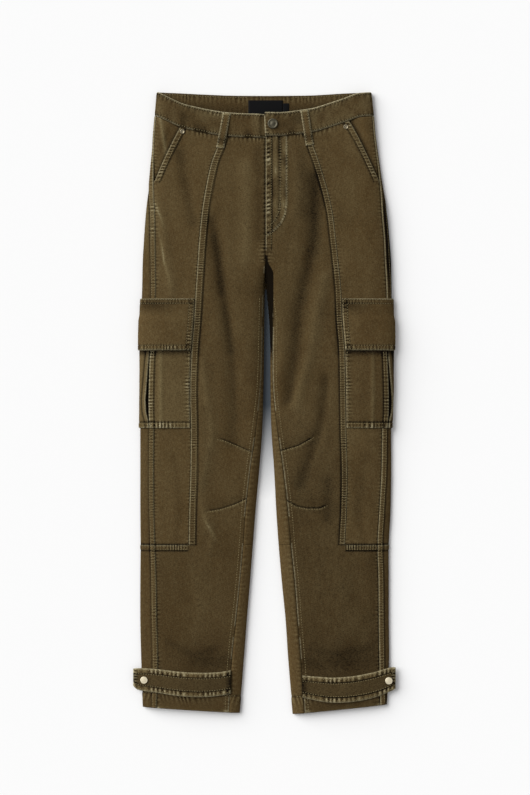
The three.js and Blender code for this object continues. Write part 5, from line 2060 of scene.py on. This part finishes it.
    def tape(self, node: str, low: float, high: float, top: float, end: float, thick: float) -> None:
        """A woven label, folded at its ends and sewn inside the back band."""
        seat = BAND_INSIDE + SEAM
        across = np.linspace(low, high, 40)[None] + np.zeros((24, 1))
        along = np.linspace(top, end, 24)[:, None] + np.zeros(across.shape)
        edge = np.minimum(np.minimum(across - low, high - across), np.minimum(along - top, end - along))
        puff = 0.25 * np.sin(math.pi * (across - low) / (high - low)) \
            * np.sin(math.pi * (along - top) / (end - top))
        x, y = across + FLY_SHIFT, LENGTH / 2 - along
        face = np.stack([x, y, seat + thick + puff - soften(edge, thick, 1.0)], -1)
        inside = np.stack([x, y, np.full(x.shape, seat)], -1)
        wall = Wall(node, face, inside, Relief.none(x.shape))
        self.room.sew(wall, ("waistband_back",), self.room.label, "label")

    def button(self) -> None:
        """Tack button: a rolled rim round a dished face."""
        profile = [(0.0, 0.0), (7.4, 0.0), (8.3, 0.6), (8.5, 1.3), (8.3, 2.1), (7.7, 2.7), (6.9, 2.85),
                   (6.3, 2.5), (5.9, 2.1), (4.6, 2.15), (3.2, 2.4), (2.2, 2.75), (1.2, 3.0),
                   (0.0, 3.1)]
        across, down = self.button_at
        band = self.lay(LEFT, np.array([float(LEFT.place(across, BAND / 2))]), np.array([BAND / 2]),
                        np.array([BAND_PROUD + SEAM]), True)
        turn_metal(self.room, "waist_button", profile, across + FLY_SHIFT, LENGTH / 2 - down,
                   float(band[0, 2]) + 0.3, self.room.pewter, "button")

    def stitch(self) -> None:
        """Sews along both edges of the front strips and the back strip's inside."""
        thread = self.room.thread_of("waist")
        for leg, start in ((RIGHT, 8.0), (LEFT, 1.0)):
            for row in (3.0, BAND - BAND_GAP - 3.0):
                across = np.arange(start, float(leg.edge("side", row)) - 2, SAMPLE)
                rows = np.full(across.shape, row)
                high = BAND_PROUD + 0.12 + self.relief(leg.sign * across, rows, 1).height
                points = self.lay(leg, leg.place(across, rows), rows, high, True)
                thread.line(points, np.tile(UP, (len(points), 1)))
        reach, label_middle, label_reach = 168.0, 7, 36
        x = np.arange(-reach, reach, SAMPLE)
        seat = BAND_INSIDE + 0.12
        for row in (3.0, 34.0):
            leg_drop = np.where(x < 0, RIGHT.waist.at("back", -x), LEFT.waist.at("back", x)) - BAND
            points = np.stack([x + FLY_SHIFT, LENGTH / 2 - row - leg_drop, np.full(x.shape, seat)], 1)
            hidden = np.abs(x - label_middle) < label_reach
            for part in (points[(x < 0) & ~hidden], points[(x > 0) & ~hidden]):
                thread.line(part, np.tile(UP, (len(part), 1)))

    def build(self) -> None:
        free = np.linspace(-self.underlap, self.tuck_rise[0], 14)
        right = [*free, 5.5, 7, 8.5, 10, 12]
        left = [-3, -2.6, -2, -1, 0.3, 2, 4, 6, 8, 10, 12]
        self.room.sew(self.front(RIGHT, right, BAND_WALL + CLEAR), ("waistband_back",))
        self.room.sew(self.front(LEFT, left, 0.0), ("waistband_front_right",))
        self.room.sew(self.back())
        for leg, top, end in ((RIGHT, 63.5, 74.5), (LEFT, 63.5, 72.5)):
            self.room.sew(self.loop(leg, top, end), (f"waistband_front_{leg.word}",))
        for word, middle in (("centre", 0.0), ("right", -95.0), ("left", 95.0)):
            self.back_loop(word, middle)
        self.tape("waist_label", -28.5, 28.5, 13, 36.5, 0.8)
        self.tape("size_tab", 28.9, 38.5, 18, 34, 0.6)
        self.button()
        self.stitch()


def turn_metal(room: Workroom, node: str, profile: Sequence[tuple[float, float]], x: float, y: float,
               z: float, finish: bpy.types.Material, slot: str) -> None:
    """Turns a small metal piece about an upright axis.

    Args:
        room: the workroom that seats it.
        node: the solid that it stands for.
        profile: radius and height pairs from the axis out and back to it.
        x: place of the axis.
        y: place of the axis.
        z: height of its seat.
        finish: its metal.
        slot: not used.
    """
    around = 40
    angle = np.arange(around) * 2 * math.pi / around
    rings = np.array(profile[1:-1])
    ring = np.stack([rings[:, :1] * np.cos(angle), rings[:, :1] * np.sin(angle),
                     rings[:, 1:] + 0 * angle], -1)
    points = np.concatenate([[[0, 0, profile[0][1]]], ring.reshape(-1, 3), [[0, 0, profile[-1][1]]]])
    last = len(points) - 1
    faces = []
    for k in range(around):
        n = (k + 1) % around
        faces.append([0, 1 + n, 1 + k])
        faces.append([last, last - around + k, last - around + n])
        for level in range(len(rings) - 1):
            a, b = 1 + level * around, 1 + (level + 1) * around
            faces.append([a + k, a + n, b + n])
            faces.append([a + k, b + n, b + k])
    item = mesh_object(f"{node}_metal", points + np.array([x, y, z]), np.array(faces), finish)
    room.seat(item, slot, node)


def cap_profile(radius: float, height: float) -> list[tuple[float, float]]:
    """Outline of a low cap: a rounded rim, a fine groove inside it and a faint dome."""
    bend = [(radius * (0.84 + 0.16 * math.cos(a)), height * (0.5 + 0.46 * math.sin(a)))
            for a in np.linspace(0, math.pi / 2, 7)]
    dome = [(radius * r, height * h) for r, h in ((0.78, 0.9), (0.7, 0.94), (0.45, 0.98), (0.22, 1.0))]
    return [(0.0, 0.0), (radius * 0.9, 0.0), *bend, *dome, (0.0, height)]


@dataclass
class AnkleTab:
    """The tab across the ankle, arched off the leg, with its snap cap."""

    leg: Leg
    room: Workroom
    snap: tuple[float, float]

    def height(self, across, down) -> Array:
        """Height of the tab's underside."""
        leg = self.leg
        start = leg.tab.rows[0][0]
        leave = leg.edge("outer", down) - 16
        on = np.minimum(across, leave)
        row = leg.row_of(on, down)
        arch = TAB_BOW * np.sin(math.pi * np.minimum((on - start) / (leave - start), 1)) ** 2
        return leg.top(on, row) + 0.9 + arch - 0.12 * (across - on)

    def wall(self) -> Wall:
        """The tab's folded cloth."""
        leg = self.leg
        start, end = leg.tab.rows[0][0], leg.tab.rows[-1][0]
        columns = np.concatenate([np.arange(start, end - 6, 1.7), end - np.array(
            [6, 5, 4, 3, 2.2, 1.5, 0.9, 0.4, 0.1, 0])])
        share = np.linspace(0, 1, 25)[:, None]
        across = columns[None] + 0 * share
        top, low = leg.tab.at("top", columns)[None], leg.tab.at("end", columns)[None]
        down = lerp(top, low, share)
        edge = np.minimum(down - top, low - down)
        free = end - across
        relief = Relief.none(across.shape)
        along = leg.sign * across
        relief.pucker(along, bell(edge - 4.6, 3.4), 8.2, 0.5, 2)
        relief.pucker(down, bell(free - 4.0, 3.2), 6.0, 0.4, 3)
        relief.groove(edge - 9.0, 0.3, 1.1)
        relief.line("crest", np.minimum(edge, free) - 0.9)
        relief.wear += 0.5 * bell(edge, 1.4) + 0.5 * bell(free, 1.4) + 0.12
        # Painted shade at the tucked inner end; the middle is a little darker
        relief.shade += 0.5 * bell(across - start, 7) + 0.4 * smooth(5, 9, edge)
        relief.height -= soften(np.minimum(edge, free), TAB_WALL, 1.8)
        relief.wrinkle(along, down, 71, 0.3)
        inside = np.stack([leg.sign * across + FLY_SHIFT, LENGTH / 2 - down,
                           self.height(across, down)], -1)
        face = inside + UP * (TAB_WALL + relief.height)[..., None]
        thread = self.room.thread_of(f"leg_{leg.word}")
        count = face.shape[0]
        for k in (2, 6, count - 7, count - 3):
            line = face[k, :-6] + [0, 0, 0.12]
            thread.line(line, np.tile(UP, (len(line), 1)))
        return Wall(f"ankle_tab_{leg.word}", face, inside, relief)

    def build(self) -> None:
        """Makes and seats the tab and its cap."""
        leg = self.leg
        word = leg.word
        self.room.sew(self.wall(), (f"front_centre_{word}",))
        across, down = self.snap
        heights = [float(self.height(across + step, down)) for step in (-5, 0, 5)]
        turn_metal(self.room, f"snap_cap_{word}", cap_profile(6.0, 2.4),
                   leg.sign * across + FLY_SHIFT, LENGTH / 2 - down,
                   max(heights) + TAB_WALL + SEAM, self.room.brass, "snap")


@dataclass
class Rivet:
    """A small rivet at the upper end of a hip pocket's mouth."""

    leg: Leg
    room: Workroom
    across: float
    down: float

    def build(self) -> None:
        """Makes and seats the rivet."""
        steps = [(0, 0), (4, 0), (-4, 0), (0, 4), (0, -4)]
        heights = [float(self.leg.top(self.across + a, self.leg.row_of(self.across + a, self.down + b)))
                   for a, b in steps]
        ring = [(0.0, 0.0), (3.7, 0.0), (4.0, 0.5), (3.8, 1.1), (3.3, 1.4), (2.8, 1.3), (2.4, 0.8),
                (1.6, 0.7), (0.8, 0.75), (0.0, 0.8)]
        turn_metal(self.room, f"rivet_{self.leg.word}", ring,
                   self.leg.sign * self.across + FLY_SHIFT, LENGTH / 2 - self.down,
                   max(heights) + SEAM, self.room.tin, "snap")


@dataclass
class Studio:
    """White floor, a soft sun from the left and a bright even sky, a camera straight above."""

    lens_mm: float = 85.0
    sensor_mm: float = 36.0
    view_m: float = 1.31175
    aim: tuple[float, float] = (0.001, 0.0094)
    sun_from: tuple[float, float, float] = (-1.0, 0.6, 0.72)
    sun_watts: float = 3.84
    sun_softness_deg: float = 54.0
    sky: float = 0.41
    floor_half_m: float = 12.0
    floor_z_m: float = -0.0004

    def build(self) -> None:
        """Makes the floor, the light and the camera."""
        half, z = self.floor_half_m, self.floor_z_m
        corners = np.array([[-half, -half, z], [half, -half, z], [half, half, z], [-half, half, z]]) / MM
        floor = mesh_object("floor", corners, np.array([[0, 1, 2, 3]]), StudioPaper().build())
        self.camera()
        data = bpy.data.lights.new("sun", "SUN")
        data.energy = self.sun_watts
        data.angle = math.radians(self.sun_softness_deg)
        item = bpy.data.objects.new("sun", data)
        item.location = self.sun_from
        item.rotation_euler = item.location.to_track_quat("Z", "Y").to_euler()
        bpy.context.scene.collection.objects.link(item)
        world = bpy.data.worlds.new("studio")
        world.use_nodes = True
        world.node_tree.nodes["Background"].inputs["Color"].default_value = (1, 1, 1, 1)
        world.node_tree.nodes["Background"].inputs["Strength"].default_value = self.sky
        bpy.context.scene.world = world
        bpy.context.scene.view_settings.view_transform = "Standard"

    def camera(self) -> None:
        """Makes the camera; its height frames the photograph's view."""
        data = bpy.data.cameras.new("camera")
        data.lens = self.lens_mm
        data.sensor_width = self.sensor_mm
        data.clip_end = 20
        item = bpy.data.objects.new("camera", data)
        item.location = (*self.aim, self.view_m * self.lens_mm / self.sensor_mm)
        bpy.context.scene.collection.objects.link(item)
        bpy.context.scene.camera = item


def main() -> None:
    """Builds the garment and its studio."""
    logging.basicConfig(level=logging.INFO, format="%(message)s")
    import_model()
    room = Workroom.open()
    for leg in (RIGHT, LEFT):
        LegPanels(leg, room).build()
        CargoPocket(leg, room).build()
    Waistband(room).build()
    AnkleTab(RIGHT, room, (199.8, 967.0)).build()
    AnkleTab(LEFT, room, (202.6, 968.2)).build()
    Rivet(RIGHT, room, 136.8, 65.5).build()
    Rivet(LEFT, room, 132.0, 57.8).build()
    for stitches in room.stitches.values():
        room.seat(stitches.build(room.thread), "twill")
    LOG.info("faces in all: %d", room.count)
    Studio().build()


if __name__ == "__main__":
    main()
